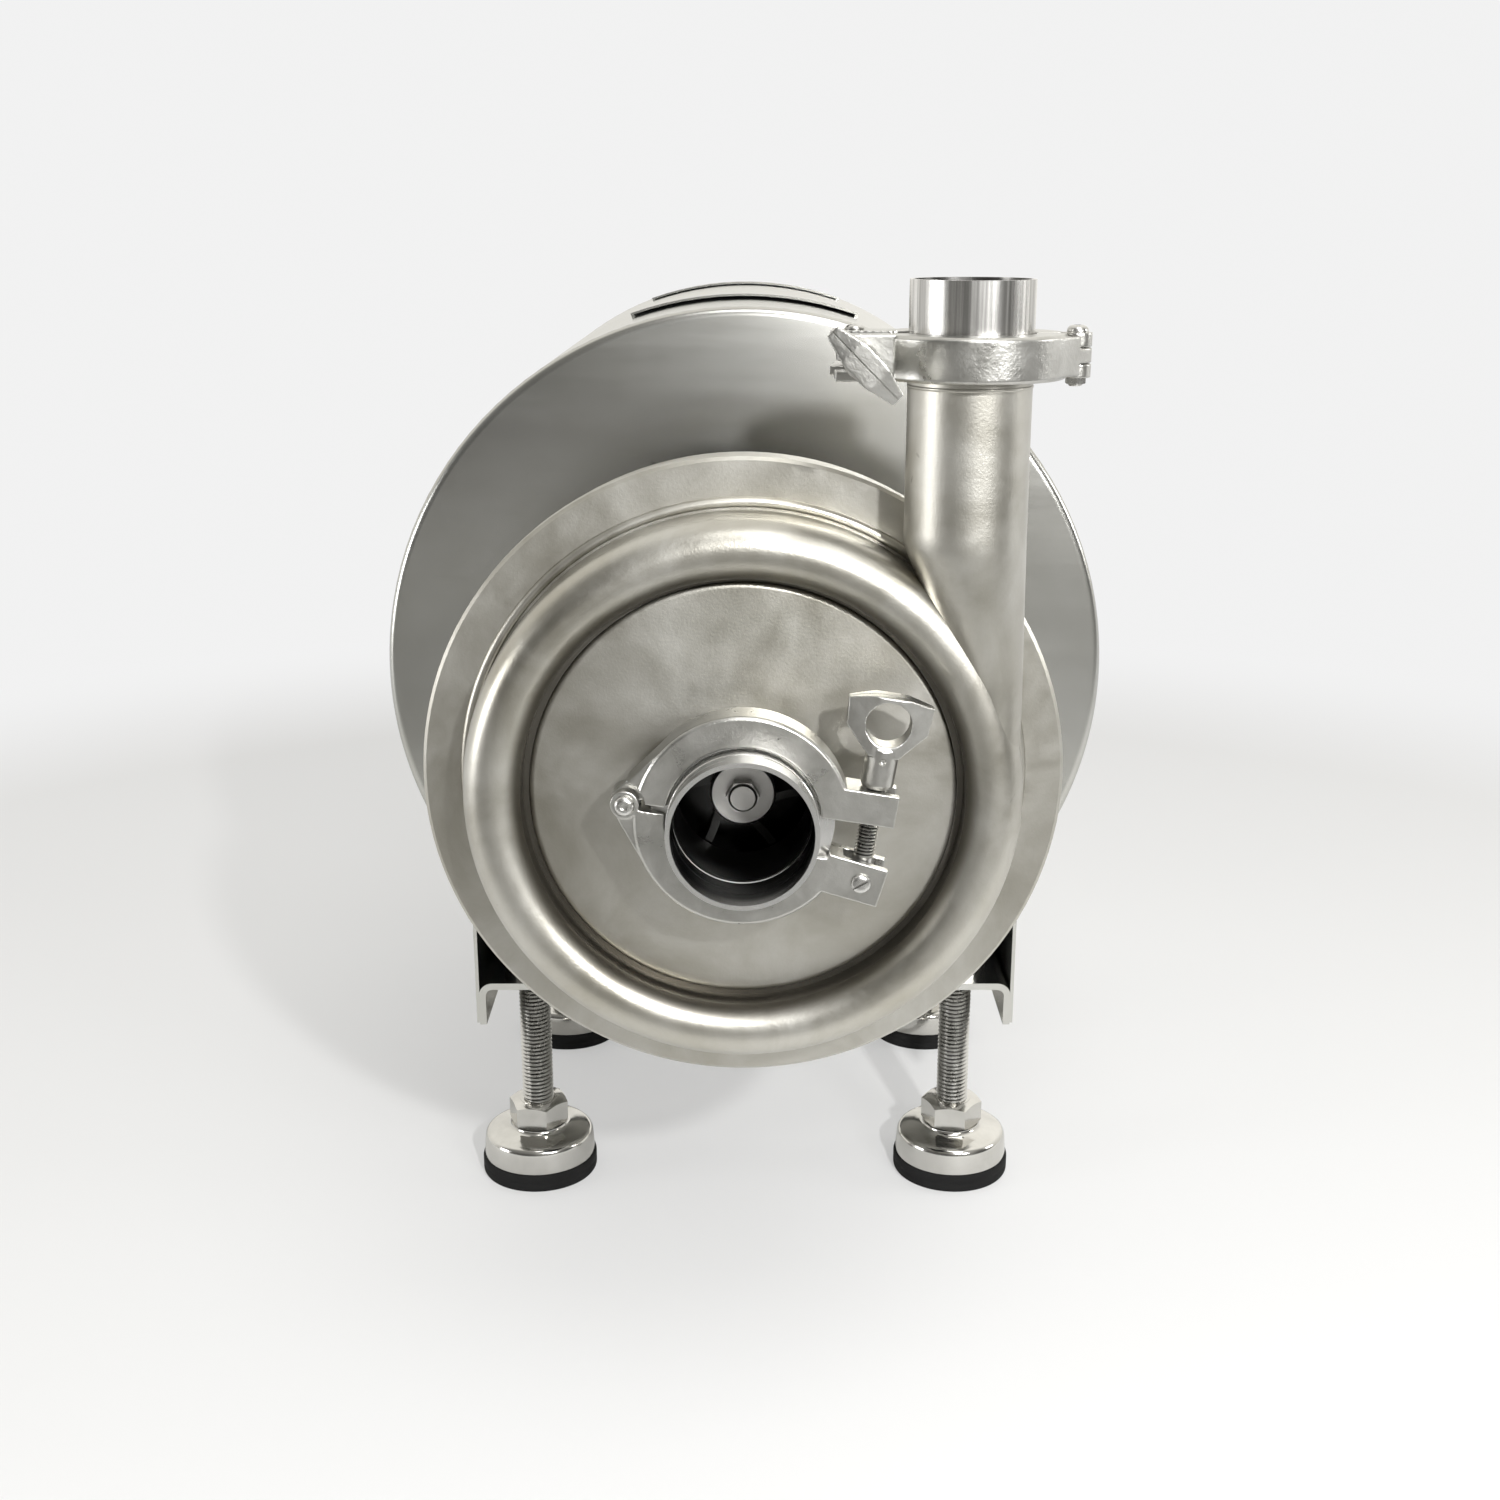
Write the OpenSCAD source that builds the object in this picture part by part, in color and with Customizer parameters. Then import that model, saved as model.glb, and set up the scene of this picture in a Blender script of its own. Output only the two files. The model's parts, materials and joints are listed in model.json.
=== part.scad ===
// Sanitary centrifugal pump with a shrouded motor on four levelling feet.
// Millimetres, +Z up, the inlet faces -Y, the discharge points up on the +X side.

/* [Pump casing] */
// Height of the shaft line above the floor
axis_height = 325; // [290:1:360]
// Radius of the casing flange
flange_radius = 144; // [138:0.5:160]
// Thickness of the casing flange
flange_thick = 10; // [6:0.5:16]
// Radius of the circle on which the volute bead crest runs
bead_radius = 109; // [104:0.5:112]
// Section radius of the volute bead
bead_round = 13; // [10:0.5:14]
// Distance from the flange face forward to the centre of the bead
bead_reach = 26.5; // [26:0.5:32]
// Distance from the flange face forward to the flat cover face
face_reach = 19.5; // [16:0.5:23]
// Sheet thickness of the casing
casing_wall = 2.5; // [1.5:0.25:4]

/* [Inlet] */
// Outside diameter of the inlet tube
inlet_tube_d = 63.5; // [60:0.5:66]
// Outside diameter of the inlet ferrules
inlet_ferrule_d = 77.5; // [76:0.5:79]
// Distance from the flange face to the inlet ferrule joint
inlet_joint = 54.5; // [54:0.5:60]
// Length of the inlet stub in front of its joint
inlet_stub_len = 27.5; // [27:0.5:60]
// Tilt of the inlet clamp about the shaft line
inlet_clamp_tilt = 9; // [0:1:20]

/* [Outlet] */
// Outside diameter of the discharge tube
outlet_tube_d = 51; // [48:0.5:53]
// Outside diameter of the discharge ferrules
outlet_ferrule_d = 64; // [62:0.5:66]
// Sideways offset of the discharge tube from the shaft line
outlet_offset = 93; // [88:0.5:96]
// Height of the discharge joint above the shaft line
outlet_joint = 188.5; // [180:0.5:230]
// Length of the discharge stub above its joint
outlet_stub_len = 30; // [27:1:60]
// Height above the shaft line where the throat takes the full tube size
throat_top = 112; // [106:1:120]
// Height above the shaft line where the throat comes down to the size of the bead
throat_low = 47; // [40:1:60]

/* [Clamps] */
// Width of a clamp along its tube
clamp_width = 18; // [16:0.5:22]
// Radial thickness of a clamp outside its ferrule
clamp_rim = 7; // [5.5:0.25:8]
// Gap between the two halves of a closed clamp
clamp_split = 3; // [2:0.5:5]
// Diameter of the swing bolts
swing_bolt_d = 9; // [8:0.5:10]
// Distance of the swing bolt outside the clamp rim
swing_bolt_out = 7.5; // [7:0.25:9]
// Thickness of the wing of a wing nut at its ends
wing_thick = 5; // [4:0.5:7]
// Thickness of the wing of a wing nut at its middle
wing_middle = 12; // [9:0.5:13]
// Width of the wing of a wing nut
wing_width = 36; // [32:1:38]
// Radius of the eye through the wing
wing_eye = 9.5; // [6:0.5:10]

/* [Shaft and impeller] */
// Radius of the impeller
impeller_radius = 91; // [80:0.5:94]
// Number of impeller blades
blade_count = 6; // [4:1:8]
// Thickness of an impeller blade
blade_thick = 3.5; // [2.5:0.5:5]
// Diameter of the pump shaft in the seal
seal_shaft_d = 30; // [28:0.5:32]
// Diameter of the motor shaft end
motor_shaft_d = 38; // [36:0.5:40]

/* [Lantern] */
// Length of the lantern between back plate and motor
lantern_len = 183; // [160:1:220]
// Outside radius of the lantern barrel
lantern_radius = 100; // [98:0.5:104]
// Wall thickness of the lantern barrel
lantern_wall = 9; // [7:0.5:9.5]
// Height of the lantern side windows
window_height = 96; // [60:1:110]
// Length of the lantern side windows
window_len = 96; // [60:1:110]

/* [Motor] */
// Radius of the motor frame
motor_radius = 129; // [122:0.5:134]
// Length of the motor frame
motor_len = 210; // [200:1:230]
// Height from the motor feet to the shaft line
motor_foot_height = 132; // [130:0.5:140]
// Sideways distance between the motor foot holes
foot_hole_wide = 216; // [200:1:226]
// Lengthways distance between the motor foot holes
foot_hole_long = 140; // [110:1:142]

/* [Shroud] */
// Outside radius of the shroud
shroud_radius = 197.5; // [192:0.5:210]
// Length of the shroud
shroud_len = 400; // [390:1:460]
// Sheet thickness of the shroud
shroud_sheet = 2; // [1:0.25:3]
// Distance from the flange face back to the shroud front
shroud_back = 198; // [190:1:202]
// Half width between the outer faces of the shroud skirts
skirt_half = 158; // [156:0.5:170]
// Width of the wide slot across the top near the front
front_slot = 4; // [2:0.5:8]
// Width of the narrow slot across the top near the rear
rear_slot = 2; // [1:0.5:4]
// Half angle of the two top slots
slot_angle = 19; // [10:1:25]

/* [Base] */
// Depth of the base plate below the shaft line
base_drop = 188; // [180:1:194]
// Sheet thickness of the base plate
base_sheet = 4; // [3:0.5:6]
// Length of the base plate
base_len = 290; // [280:1:330]
// Height of the turned down lips of the base plate
base_lip = 26; // [16:1:34]

/* [Feet] */
// Diameter of the rubber pads
pad_d = 70; // [60:1:74]
// Height of the rubber pads
pad_height = 11; // [8:0.5:14]
// Height of the cups above the rubber pads
cup_height = 20; // [16:0.5:26]
// Diameter of the threaded rods
rod_d = 19; // [16:0.5:20]
// Size of the rod hexagon across its flats
rod_hex = 32; // [27:1:34]
// Half of the sideways distance between the feet
foot_half = 127.5; // [122:0.5:132]
// Distance from the flange face to the front feet
foot_front = 234; // [228:1:236]
// Lengthways distance between front and rear feet
foot_pitch = 196; // [192:1:214]

/* [Fits] */
// Clearance between pieces that move against each other
move_gap = 0.35; // [0.3:0.05:0.6]
// Radial clearance of a turning shaft fit
shaft_gap = 0.05; // [0.02:0.01:0.1]

/* [Hidden] */
$fn = 64;
inlet_r = inlet_tube_d / 2;
outlet_r = outlet_tube_d / 2;
inlet_front = inlet_joint + inlet_stub_len;
outlet_top = outlet_joint + outlet_stub_len;
shroud_end = shroud_back + shroud_len;
screw_head = 4.5;
screw_circle = shroud_radius - 12;
screw_turns = [20, 160, 200, 250, 290, 340];
ear_low = 7.3;
ear_high = 21.3;
nut_neck = 15.5;
nut_high = nut_neck + 24.5;
nut_seat = ear_high + move_gap;
front_most = max(inlet_front, bead_reach + nut_seat + nut_high);
y_shift = (front_most - shroud_end - screw_head) / 2;
barrel_r = bead_radius + bead_round - 0.6;
chamber_r = barrel_r - casing_wall;
groove_r = bead_radius - bead_round + 0.8;
gasket_thick = 2;
ferrule_rim = 2.85;
stud_circle = (chamber_r + flange_radius) / 2 + 2.5;
stud_r = 4;
plate_front = flange_thick;
plate_thick = 12;
plate_back = plate_front + plate_thick;
lantern_end = plate_back + lantern_len;
lantern_flange = 12;
stud_nut = 7;
hub_r = 14.5;
hub_front = -face_reach + 1.5;
hub_back = plate_front - 1.5;
shaft_nose_r = 9;
seal_r = seal_shaft_d / 2;
motor_shaft_r = motor_shaft_d / 2;
frame_front = lantern_end + 50;
frame_back = frame_front + motor_len;
bearing_r = 45;
bearing_wide = 23;
bearing_bore = 20;
bearing_front = lantern_end + 17;
bearing_rear = frame_back + 8;
core_bore = 65.5;
core_r = motor_radius - 24;
core_front = frame_front + 36;
core_back = frame_back - 36;
fan_front = frame_back + 40;
fan_len = 32;
fan_radius = 100;
fan_hub_r = 26;
fan_disc = 4;
tail_r = 14;
fan_back = fan_front + fan_len;
shaft_end = fan_back + 8;
cowl_end = fan_back + 28;
motor_foot_mid = foot_front + foot_pitch / 2;
base_front = shroud_back + 2;
bell_plate = 14;
bell_nose = 20;
core_shaft_r = 22;
end_ring = 9;
winding_len = 20;
sleeve_gap = 70;
sleeve_len = 62;
sleeve_wall = 9;
collar_wall = 16;
collar_len = 22;
box_half = 55;
box_half_len = 60;
box_wall = 4;
lid_over = 2;
lid_thick = 6;
lid_gap = 13.35;
lid_top = sqrt(pow(shroud_radius - shroud_sheet - lid_gap, 2) - pow(box_half + lid_over, 2));
hood_len = 16;
hood_sheet = 1.2;
front_slot_y = shroud_back + shroud_len * 0.22;
rear_slot_y = shroud_back + shroud_len * 0.8;
leg_nut = 30;
leg_nut_high = 16;
rail_top = -motor_foot_height;
base_top = -base_drop;
bore_gap = 0.5;
clamp_bore_gap = 1.2;
pivot_drop = 18.6;
ear_end = 9.5;
pin_r = 3;
knuckle_r = 6;
tongue_half = 3;
clamp_edge = 1.2;
ear_tilt = 8;
foot_top = pad_height + cup_height;
hex_high = 16;
rod_top = axis_height - base_drop + 44;

// Places a piece drawn around the shaft line, with the flange face at y 0
module on_shaft() {
  translate([0, y_shift, axis_height]) children();
}

// Round bar along the shaft line from y1 to y2
module bar_y(r, y1, y2) {
  translate([0, y1, 0]) rotate([-90, 0, 0]) cylinder(r = r, h = y2 - y1);
}

// Cone along the shaft line
module cone_y(r1, r2, y1, y2) {
  translate([0, y1, 0]) rotate([-90, 0, 0]) cylinder(r1 = r1, r2 = r2, h = y2 - y1);
}

// Ring along the shaft line
module ring_y(outer, inner, y1, y2) {
  difference() {
    bar_y(outer, y1, y2);
    bar_y(inner, y1 - 1, y2 + 1);
  }
}

// Round ring of round section about the shaft line
module donut_y(radius, section, y) {
  translate([0, y, 0]) rotate([-90, 0, 0]) rotate_extrude() translate([radius, 0]) circle(r = section);
}

// Hexagon along the shaft line
module hex_y(flats, y1, y2) {
  translate([0, y1, 0]) rotate([-90, 0, 0]) cylinder(r = flats / sqrt(3), h = y2 - y1, $fn = 6);
}

// Copies spaced evenly about the shaft line
module around_y(count, radius, first = 0) {
  for (i = [0 : count - 1])
    rotate([0, first + i * 360 / count, 0]) translate([radius, 0, 0]) children();
}

// Ferrule with its tube, joint face at z 0, the tube running down to -len
module ferrule(tube_r, rim_r, len, wall) {
  slope = (rim_r - tube_r) * tan(20);
  difference() {
    union() {
      translate([0, 0, -len]) cylinder(r = tube_r, h = len);
      translate([0, 0, -ferrule_rim]) cylinder(r = rim_r, h = ferrule_rim);
      translate([0, 0, -ferrule_rim - slope]) cylinder(r1 = tube_r, r2 = rim_r, h = slope);
    }
    translate([0, 0, -len - 1]) cylinder(r = tube_r - wall, h = len + 2);
    difference() {
      translate([0, 0, -1]) cylinder(r = tube_r + 3.4, h = 2);
      translate([0, 0, -2]) cylinder(r = tube_r + 0.4, h = 4);
    }
  }
}

// Sealing ring between two ferrules, centred on z 0
module joint_gasket(tube_r, rim_r, wall) {
  difference() {
    union() {
      translate([0, 0, -gasket_thick / 2]) cylinder(r = rim_r - 0.6, h = gasket_thick);
      translate([0, 0, -gasket_thick / 2 - 0.8])
        difference() {
          cylinder(r = tube_r + 3.2, h = gasket_thick + 1.6);
          translate([0, 0, -1]) cylinder(r = tube_r + 0.6, h = gasket_thick + 4);
        }
    }
    translate([0, 0, -5]) cylinder(r = tube_r - wall + 0.2, h = 10);
  }
}

// Throat that leaves the bead straight up and grows to the full discharge tube
module throat(shrink) {
  low_x = bead_radius - 0.5;
  low_r = bead_round - 1.8 - shrink;
  translate([low_x, -bead_reach, -2]) cylinder(r = low_r, h = throat_low + 2.3);
  hull() {
    translate([low_x, -bead_reach, throat_low]) cylinder(r = low_r - 0.3, h = 0.8, $fn = 64);
    translate([outlet_offset, -bead_reach, throat_top])
      cylinder(r = outlet_r - 0.1 - shrink, h = 1, $fn = 64);
  }
}

// Volute casing with its cover face, flange, discharge tube and both fixed ferrules
module pump_casing() {
  tube_len = outlet_joint - gasket_thick / 2 - throat_top;
  neck_len = inlet_joint - gasket_thick / 2 - face_reach + 1;
  on_shaft() color("silver") difference() {
    union() {
      difference() {
        union() {
          bar_y(barrel_r, -bead_reach, 1);
          donut_y(bead_radius, bead_round, -bead_reach);
          throat(0);
        }
        bar_y(groove_r, -bead_reach - 60, -face_reach);
      }
      cone_y(flange_radius - 1.5, flange_radius, 0, 1.5);
      bar_y(flange_radius, 1.5, flange_thick);
      around_y(8, stud_circle, 22.5)
        bar_y(stud_r, flange_thick - 1, plate_back + lantern_flange + stud_nut + 3);
      translate([outlet_offset, -bead_reach, throat_top])
        cylinder(r = outlet_r, h = tube_len - 5);
      translate([outlet_offset, -bead_reach, outlet_joint - gasket_thick / 2])
        ferrule(outlet_r, outlet_ferrule_d / 2, 14, casing_wall);
      translate([0, -inlet_joint + gasket_thick / 2, 0]) rotate([90, 0, 0])
        ferrule(inlet_r, inlet_ferrule_d / 2, neck_len, casing_wall);
      cone_y(inlet_r, inlet_r + 5, -face_reach - 4, -face_reach + 0.5);
    }
    difference() {
      union() {
        bar_y(chamber_r, -bead_reach, flange_thick + 1);
        donut_y(bead_radius, bead_round - casing_wall, -bead_reach);
        throat(casing_wall);
        translate([outlet_offset, -bead_reach, throat_top])
          cylinder(r = outlet_r - casing_wall, h = tube_len + 5);
      }
      bar_y(groove_r + casing_wall, -bead_reach - 60, -face_reach + casing_wall);
    }
    bar_y(inlet_r - casing_wall, -inlet_joint, 0);
  }
}

// Eight nuts on the casing studs behind the lantern flange
module casing_nuts() {
  nut_face = plate_back + lantern_flange;
  on_shaft() color("lightgray") around_y(8, stud_circle, 22.5) difference() {
    hex_y(13, nut_face, nut_face + stud_nut);
    bar_y(stud_r + 0.1, nut_face - 1, nut_face + stud_nut + 1);
  }
}

// Sealing ring in the groove of the back plate
module casing_o_ring() {
  on_shaft() color("black") donut_y(chamber_r + 4.5, 1.8, plate_front + 1.95);
}

// Back plate that closes the casing and carries the fixed seal face
module back_plate() {
  on_shaft() color("silver") difference() {
    union() {
      bar_y(flange_radius - 2, plate_front, plate_back);
      bar_y(chamber_r - 0.3, plate_front - 4, plate_front + 1);
    }
    bar_y(24, plate_front - 6, plate_back + 1);
    bar_y(chamber_r - 12, plate_front - 6, plate_front);
    ring_y(chamber_r + 6.6, chamber_r + 2.4, plate_front - 1, plate_front + 4);
    around_y(8, stud_circle, 22.5) bar_y(stud_r + 0.5, plate_front - 1, plate_back + 1);
  }
}

// Lantern barrel between back plate and motor, open on both sides
module lantern() {
  inner = lantern_radius - lantern_wall;
  mid = plate_back + lantern_len / 2;
  on_shaft() color("darkgray") difference() {
    union() {
      bar_y(flange_radius - 2, plate_back, plate_back + lantern_flange);
      bar_y(lantern_radius, plate_back, lantern_end);
      cone_y(lantern_radius + 14, lantern_radius, plate_back + lantern_flange - 0.5,
        plate_back + lantern_flange + 14);
    }
    bar_y(60, plate_back - 1, lantern_end + 1);
    bar_y(inner, plate_back + lantern_flange, lantern_end - lantern_flange);
    translate([-200, mid - window_len / 2, -window_height / 2])
      cube([400, window_len, window_height]);
    around_y(8, stud_circle, 22.5) bar_y(stud_r + 0.5, plate_back - 1, lantern_end);
    around_y(8, stud_circle, 22.5)
      bar_y(9, plate_back + lantern_flange, lantern_end - 30);
    around_y(4, 80, 45) bar_y(5.5, lantern_end - 40, lantern_end + 1);
  }
}

// Four hexagon screws that hold the lantern to the motor
module lantern_screws() {
  seat = lantern_end - lantern_flange;
  on_shaft() color("lightgray") around_y(4, 80, 45) {
    hex_y(16, seat - 7, seat);
    bar_y(5, seat - 0.5, lantern_end + 11);
  }
}

// Open impeller with blades curved backwards
module impeller() {
  disc = 1.5;
  arc = impeller_radius * 0.62;
  blade_front = -face_reach + casing_wall + 1.5;
  on_shaft() color("silver") difference() {
    union() {
      bar_y(impeller_radius, disc, disc + 4);
      bar_y(hub_r + 6, disc, hub_back);
      bar_y(hub_r, hub_front, hub_back);
      around_y(blade_count, 0) intersection() {
        translate([arc + 8, 0, 0]) ring_y(arc, arc - blade_thick, blade_front, disc + 1);
        ring_y(impeller_radius - 0.6, hub_r - 1, blade_front - 1, disc + 2);
        translate([-1, blade_front - 2, 2]) cube([200, 60, 200]);
      }
    }
    bar_y(shaft_nose_r, hub_front - 1, hub_back + 1);
  }
}

// Round cap that holds the impeller on its shaft nose
module hub_cap() {
  on_shaft() color("silver") difference() {
    union() {
      bar_y(hub_r, hub_front - 4, hub_front);
      cone_y(hub_r - 1, hub_r, hub_front - 5, hub_front - 4);
    }
    bar_y(4.2, hub_front - 6, hub_front + 1);
  }
}

// Hexagon bolt through the cap into the shaft nose
module impeller_bolt() {
  on_shaft() color("lightgray") {
    hex_y(13, hub_front - 11, hub_front - 5);
    cone_y(5.4, 6.4, hub_front - 12, hub_front - 11);
    bar_y(4, hub_front - 6, hub_front + 18);
  }
}

// Turning part of the shaft seal with its drive collar
module seal_rotor() {
  on_shaft() color("dimgray") difference() {
    union() {
      bar_y(20.5, plate_front + 8.4, plate_front + 20);
      bar_y(18.5, plate_front + 20, plate_front + 34);
      bar_y(22.5, plate_front + 34, plate_front + 44);
    }
    bar_y(seal_r + shaft_gap, plate_front + 7, plate_front + 45);
  }
}

// Fixed seal face held in the back plate
module seal_seat() {
  on_shaft() color("ivory") ring_y(24 - shaft_gap, seal_r + 1.5, plate_front, plate_front + 8);
}

// Pump shaft with the clamped sleeve on the motor shaft
module pump_shaft() {
  sleeve = plate_front + sleeve_gap;
  sleeve_end = sleeve + sleeve_len;
  on_shaft() color("silver") difference() {
    union() {
      bar_y(shaft_nose_r - shaft_gap, hub_front + 3, hub_back + 1);
      bar_y(seal_r, hub_back, sleeve + 1);
      bar_y(motor_shaft_r + sleeve_wall, sleeve, sleeve_end);
      bar_y(motor_shaft_r + collar_wall, sleeve_end - collar_len, sleeve_end);
    }
    bar_y(4.1, hub_front + 1, hub_front + 22);
    bar_y(motor_shaft_r + shaft_gap, sleeve + 8, sleeve_end + 1);
    translate([motor_shaft_r - 2, sleeve_end - collar_len - 1, -1])
      cube([collar_wall + 4, collar_len + 2, 2]);
  }
}

// Motor shaft through both bearings to the fan
module motor_shaft() {
  on_shaft() color("silver") {
    bar_y(motor_shaft_r, plate_front + sleeve_gap + 9, bearing_front + 1);
    bar_y(bearing_bore, bearing_front - 2, bearing_rear + bearing_wide);
    bar_y(core_shaft_r, core_front, core_back);
    bar_y(tail_r, bearing_rear + bearing_wide - 1, shaft_end);
  }
}

// Rotor of the motor
module rotor_core() {
  on_shaft() color("gray") {
    ring_y(core_bore - 0.6, core_shaft_r + shaft_gap, core_front, core_back);
    ring_y(core_bore - 6, core_shaft_r + 14, core_front - end_ring, core_front);
    ring_y(core_bore - 6, core_shaft_r + 14, core_back, core_back + end_ring);
  }
}

// Ball bearing drawn as its two rings with the closed shield between them
module ball_bearing(y) {
  ring_y(bearing_r - shaft_gap, bearing_bore + shaft_gap, y, y + bearing_wide);
}

// Bearing behind the lantern
module front_bearing() {
  on_shaft() color("lightgray") ball_bearing(bearing_front);
}

// Bearing at the fan end
module rear_bearing() {
  on_shaft() color("lightgray") ball_bearing(bearing_rear);
}

// Cooling fan of the motor
module motor_fan() {
  on_shaft() color("dimgray") difference() {
    union() {
      bar_y(fan_hub_r, fan_front, fan_back);
      bar_y(fan_radius, fan_front, fan_front + fan_disc);
      around_y(8, 0) translate([fan_hub_r - 6, fan_front + fan_disc - 1, -2])
        cube([fan_radius - fan_hub_r + 8, fan_len - fan_disc + 1, 4]);
    }
    bar_y(tail_r + shaft_gap, fan_front - 1, fan_back + 1);
  }
}

// Front end shield of the motor with its flange for the lantern
module front_bell() {
  on_shaft() color("darkgray") difference() {
    union() {
      bar_y(lantern_radius, lantern_end, lantern_end + 14);
      cone_y(lantern_radius, motor_radius, lantern_end + 13.5, lantern_end + 30);
      bar_y(motor_radius, lantern_end + 30, frame_front);
    }
    bar_y(bearing_bore + 1.5, lantern_end - 1, frame_front);
    bar_y(bearing_r, bearing_front, frame_front + 1);
    bar_y(motor_radius - 14, lantern_end + 42, frame_front + 1);
    around_y(4, 80, 45) bar_y(5.2, lantern_end - 1, lantern_end + 12);
  }
}

// Rear end shield of the motor
module rear_bell() {
  on_shaft() color("darkgray") difference() {
    union() {
      bar_y(motor_radius, frame_back, frame_back + bell_plate);
      cone_y(motor_radius - 8, bearing_r + 12, frame_back + bell_plate - 0.5,
        frame_back + bell_plate + bell_nose);
    }
    bar_y(bearing_bore + 1.5, frame_back - 1, frame_back + bell_plate + bell_nose + 1);
    bar_y(bearing_r, frame_back - 1, bearing_rear + bearing_wide);
    bar_y(motor_radius - 14, frame_back - 1, frame_back + 6);
  }
}

// Motor frame with cooling ribs and two foot rails
module motor_frame() {
  foot_long = foot_hole_long + 20;
  on_shaft() color("slategray") difference() {
    union() {
      bar_y(motor_radius, frame_front, frame_back);
      for (turn = [-54 : 12 : 54])
        for (side = [0, 180])
          rotate([0, turn + side, 0])
            translate([motor_radius - 2, frame_front + 6, -1.5])
              cube([11, motor_len - 12, 3]);
      for (side = [-1, 1]) {
        translate([side * foot_hole_wide / 2 - 26, motor_foot_mid - foot_long / 2, rail_top])
          cube([52, foot_long, 15]);
        translate([side * 86 - 7, motor_foot_mid - foot_long / 2, rail_top + 14])
          cube([14, foot_long, 50]);
      }
    }
    bar_y(core_r, frame_front - 1, frame_back + 1);
    bar_y(motor_radius + move_gap, lantern_end, frame_front);
    bar_y(motor_radius + 2 + move_gap, frame_back, cowl_end);
    for (side = [-1, 1])
      for (end = [-1, 1])
        translate([side * foot_hole_wide / 2, motor_foot_mid + end * foot_hole_long / 2, rail_top - 1])
          cylinder(r = 5.5, h = 17);
  }
}

// Stator iron of the motor
module stator_core() {
  on_shaft() color("dimgray") ring_y(core_r - shaft_gap, core_bore, core_front, core_back);
}

// Winding heads at both ends of the stator
module stator_windings() {
  on_shaft() color("peru") {
    ring_y(core_r - 8, core_bore + 4, core_front - winding_len, core_front);
    ring_y(core_r - 8, core_bore + 4, core_back, core_back + winding_len);
  }
}

// Sheet cowl over the fan with round air holes
module fan_cowl() {
  on_shaft() color("gray") difference() {
    bar_y(motor_radius + 2, frame_back + 2, cowl_end);
    bar_y(motor_radius + shaft_gap, frame_back + 1, cowl_end - 2);
    for (row = [1 : 3])
      around_y(row * 6, row * 28) bar_y(8, cowl_end - 4, cowl_end + 1);
  }
}

// Terminal box on top of the motor frame
module terminal_box() {
  box_top = lid_top - lid_thick;
  on_shaft() color("slategray") difference() {
    translate([-box_half, motor_foot_mid - box_half_len, motor_radius - 18])
      cube([2 * box_half, 2 * box_half_len, box_top - motor_radius + 18]);
    bar_y(motor_radius + move_gap, frame_front - 1, frame_back + 1);
    translate([-box_half + box_wall, motor_foot_mid - box_half_len + box_wall, motor_radius + 4])
      cube([2 * (box_half - box_wall), 2 * (box_half_len - box_wall), box_top]);
  }
}

// Lid of the terminal box
module terminal_lid() {
  tongue = box_wall + 0.5;
  on_shaft() color("slategray") {
    translate([-box_half - lid_over, motor_foot_mid - box_half_len - lid_over, lid_top - lid_thick])
      cube([2 * (box_half + lid_over), 2 * (box_half_len + lid_over), lid_thick]);
    translate([-box_half + tongue, motor_foot_mid - box_half_len + tongue, lid_top - lid_thick - 4])
      cube([2 * (box_half - tongue), 2 * (box_half_len - tongue), 4.5]);
  }
}

// Two box rails between the motor feet and the base plate
module motor_rails() {
  rail_long = foot_hole_long + 17;
  on_shaft() color("silver") for (side = [-1, 1]) difference() {
    translate([side * foot_hole_wide / 2 - 17, motor_foot_mid - rail_long / 2, base_top])
      cube([34, rail_long, rail_top - base_top]);
    translate([side * foot_hole_wide / 2 - 13, motor_foot_mid - rail_long / 2 - 1, base_top + 4])
      cube([26, rail_long + 2, rail_top - base_top - 8]);
    for (end = [-1, 1])
      translate([side * foot_hole_wide / 2, motor_foot_mid + end * foot_hole_long / 2, base_top - 1])
        cylinder(r = 5.5, h = rail_top - base_top + 2);
    for (y = [foot_front, foot_front + foot_pitch])
      translate([side * foot_half, y, base_top - 1])
        cylinder(r = leg_nut / sqrt(3) + move_gap, h = leg_nut_high + 2);
  }
}

// Four bolts with nuts that hold the motor feet, rails and base plate together
module motor_bolts() {
  on_shaft() color("lightgray") for (side = [-1, 1]) for (end = [-1, 1])
    translate([side * foot_hole_wide / 2, motor_foot_mid + end * foot_hole_long / 2, 0]) {
      translate([0, 0, base_top - base_sheet - 8])
        cylinder(r = 5, h = rail_top - base_top + base_sheet + 33);
      translate([0, 0, rail_top + 15]) cylinder(r = 16 / sqrt(3), h = 7, $fn = 6);
      translate([0, 0, base_top - base_sheet - 8]) cylinder(r = 16 / sqrt(3), h = 8, $fn = 6);
    }
}

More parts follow.
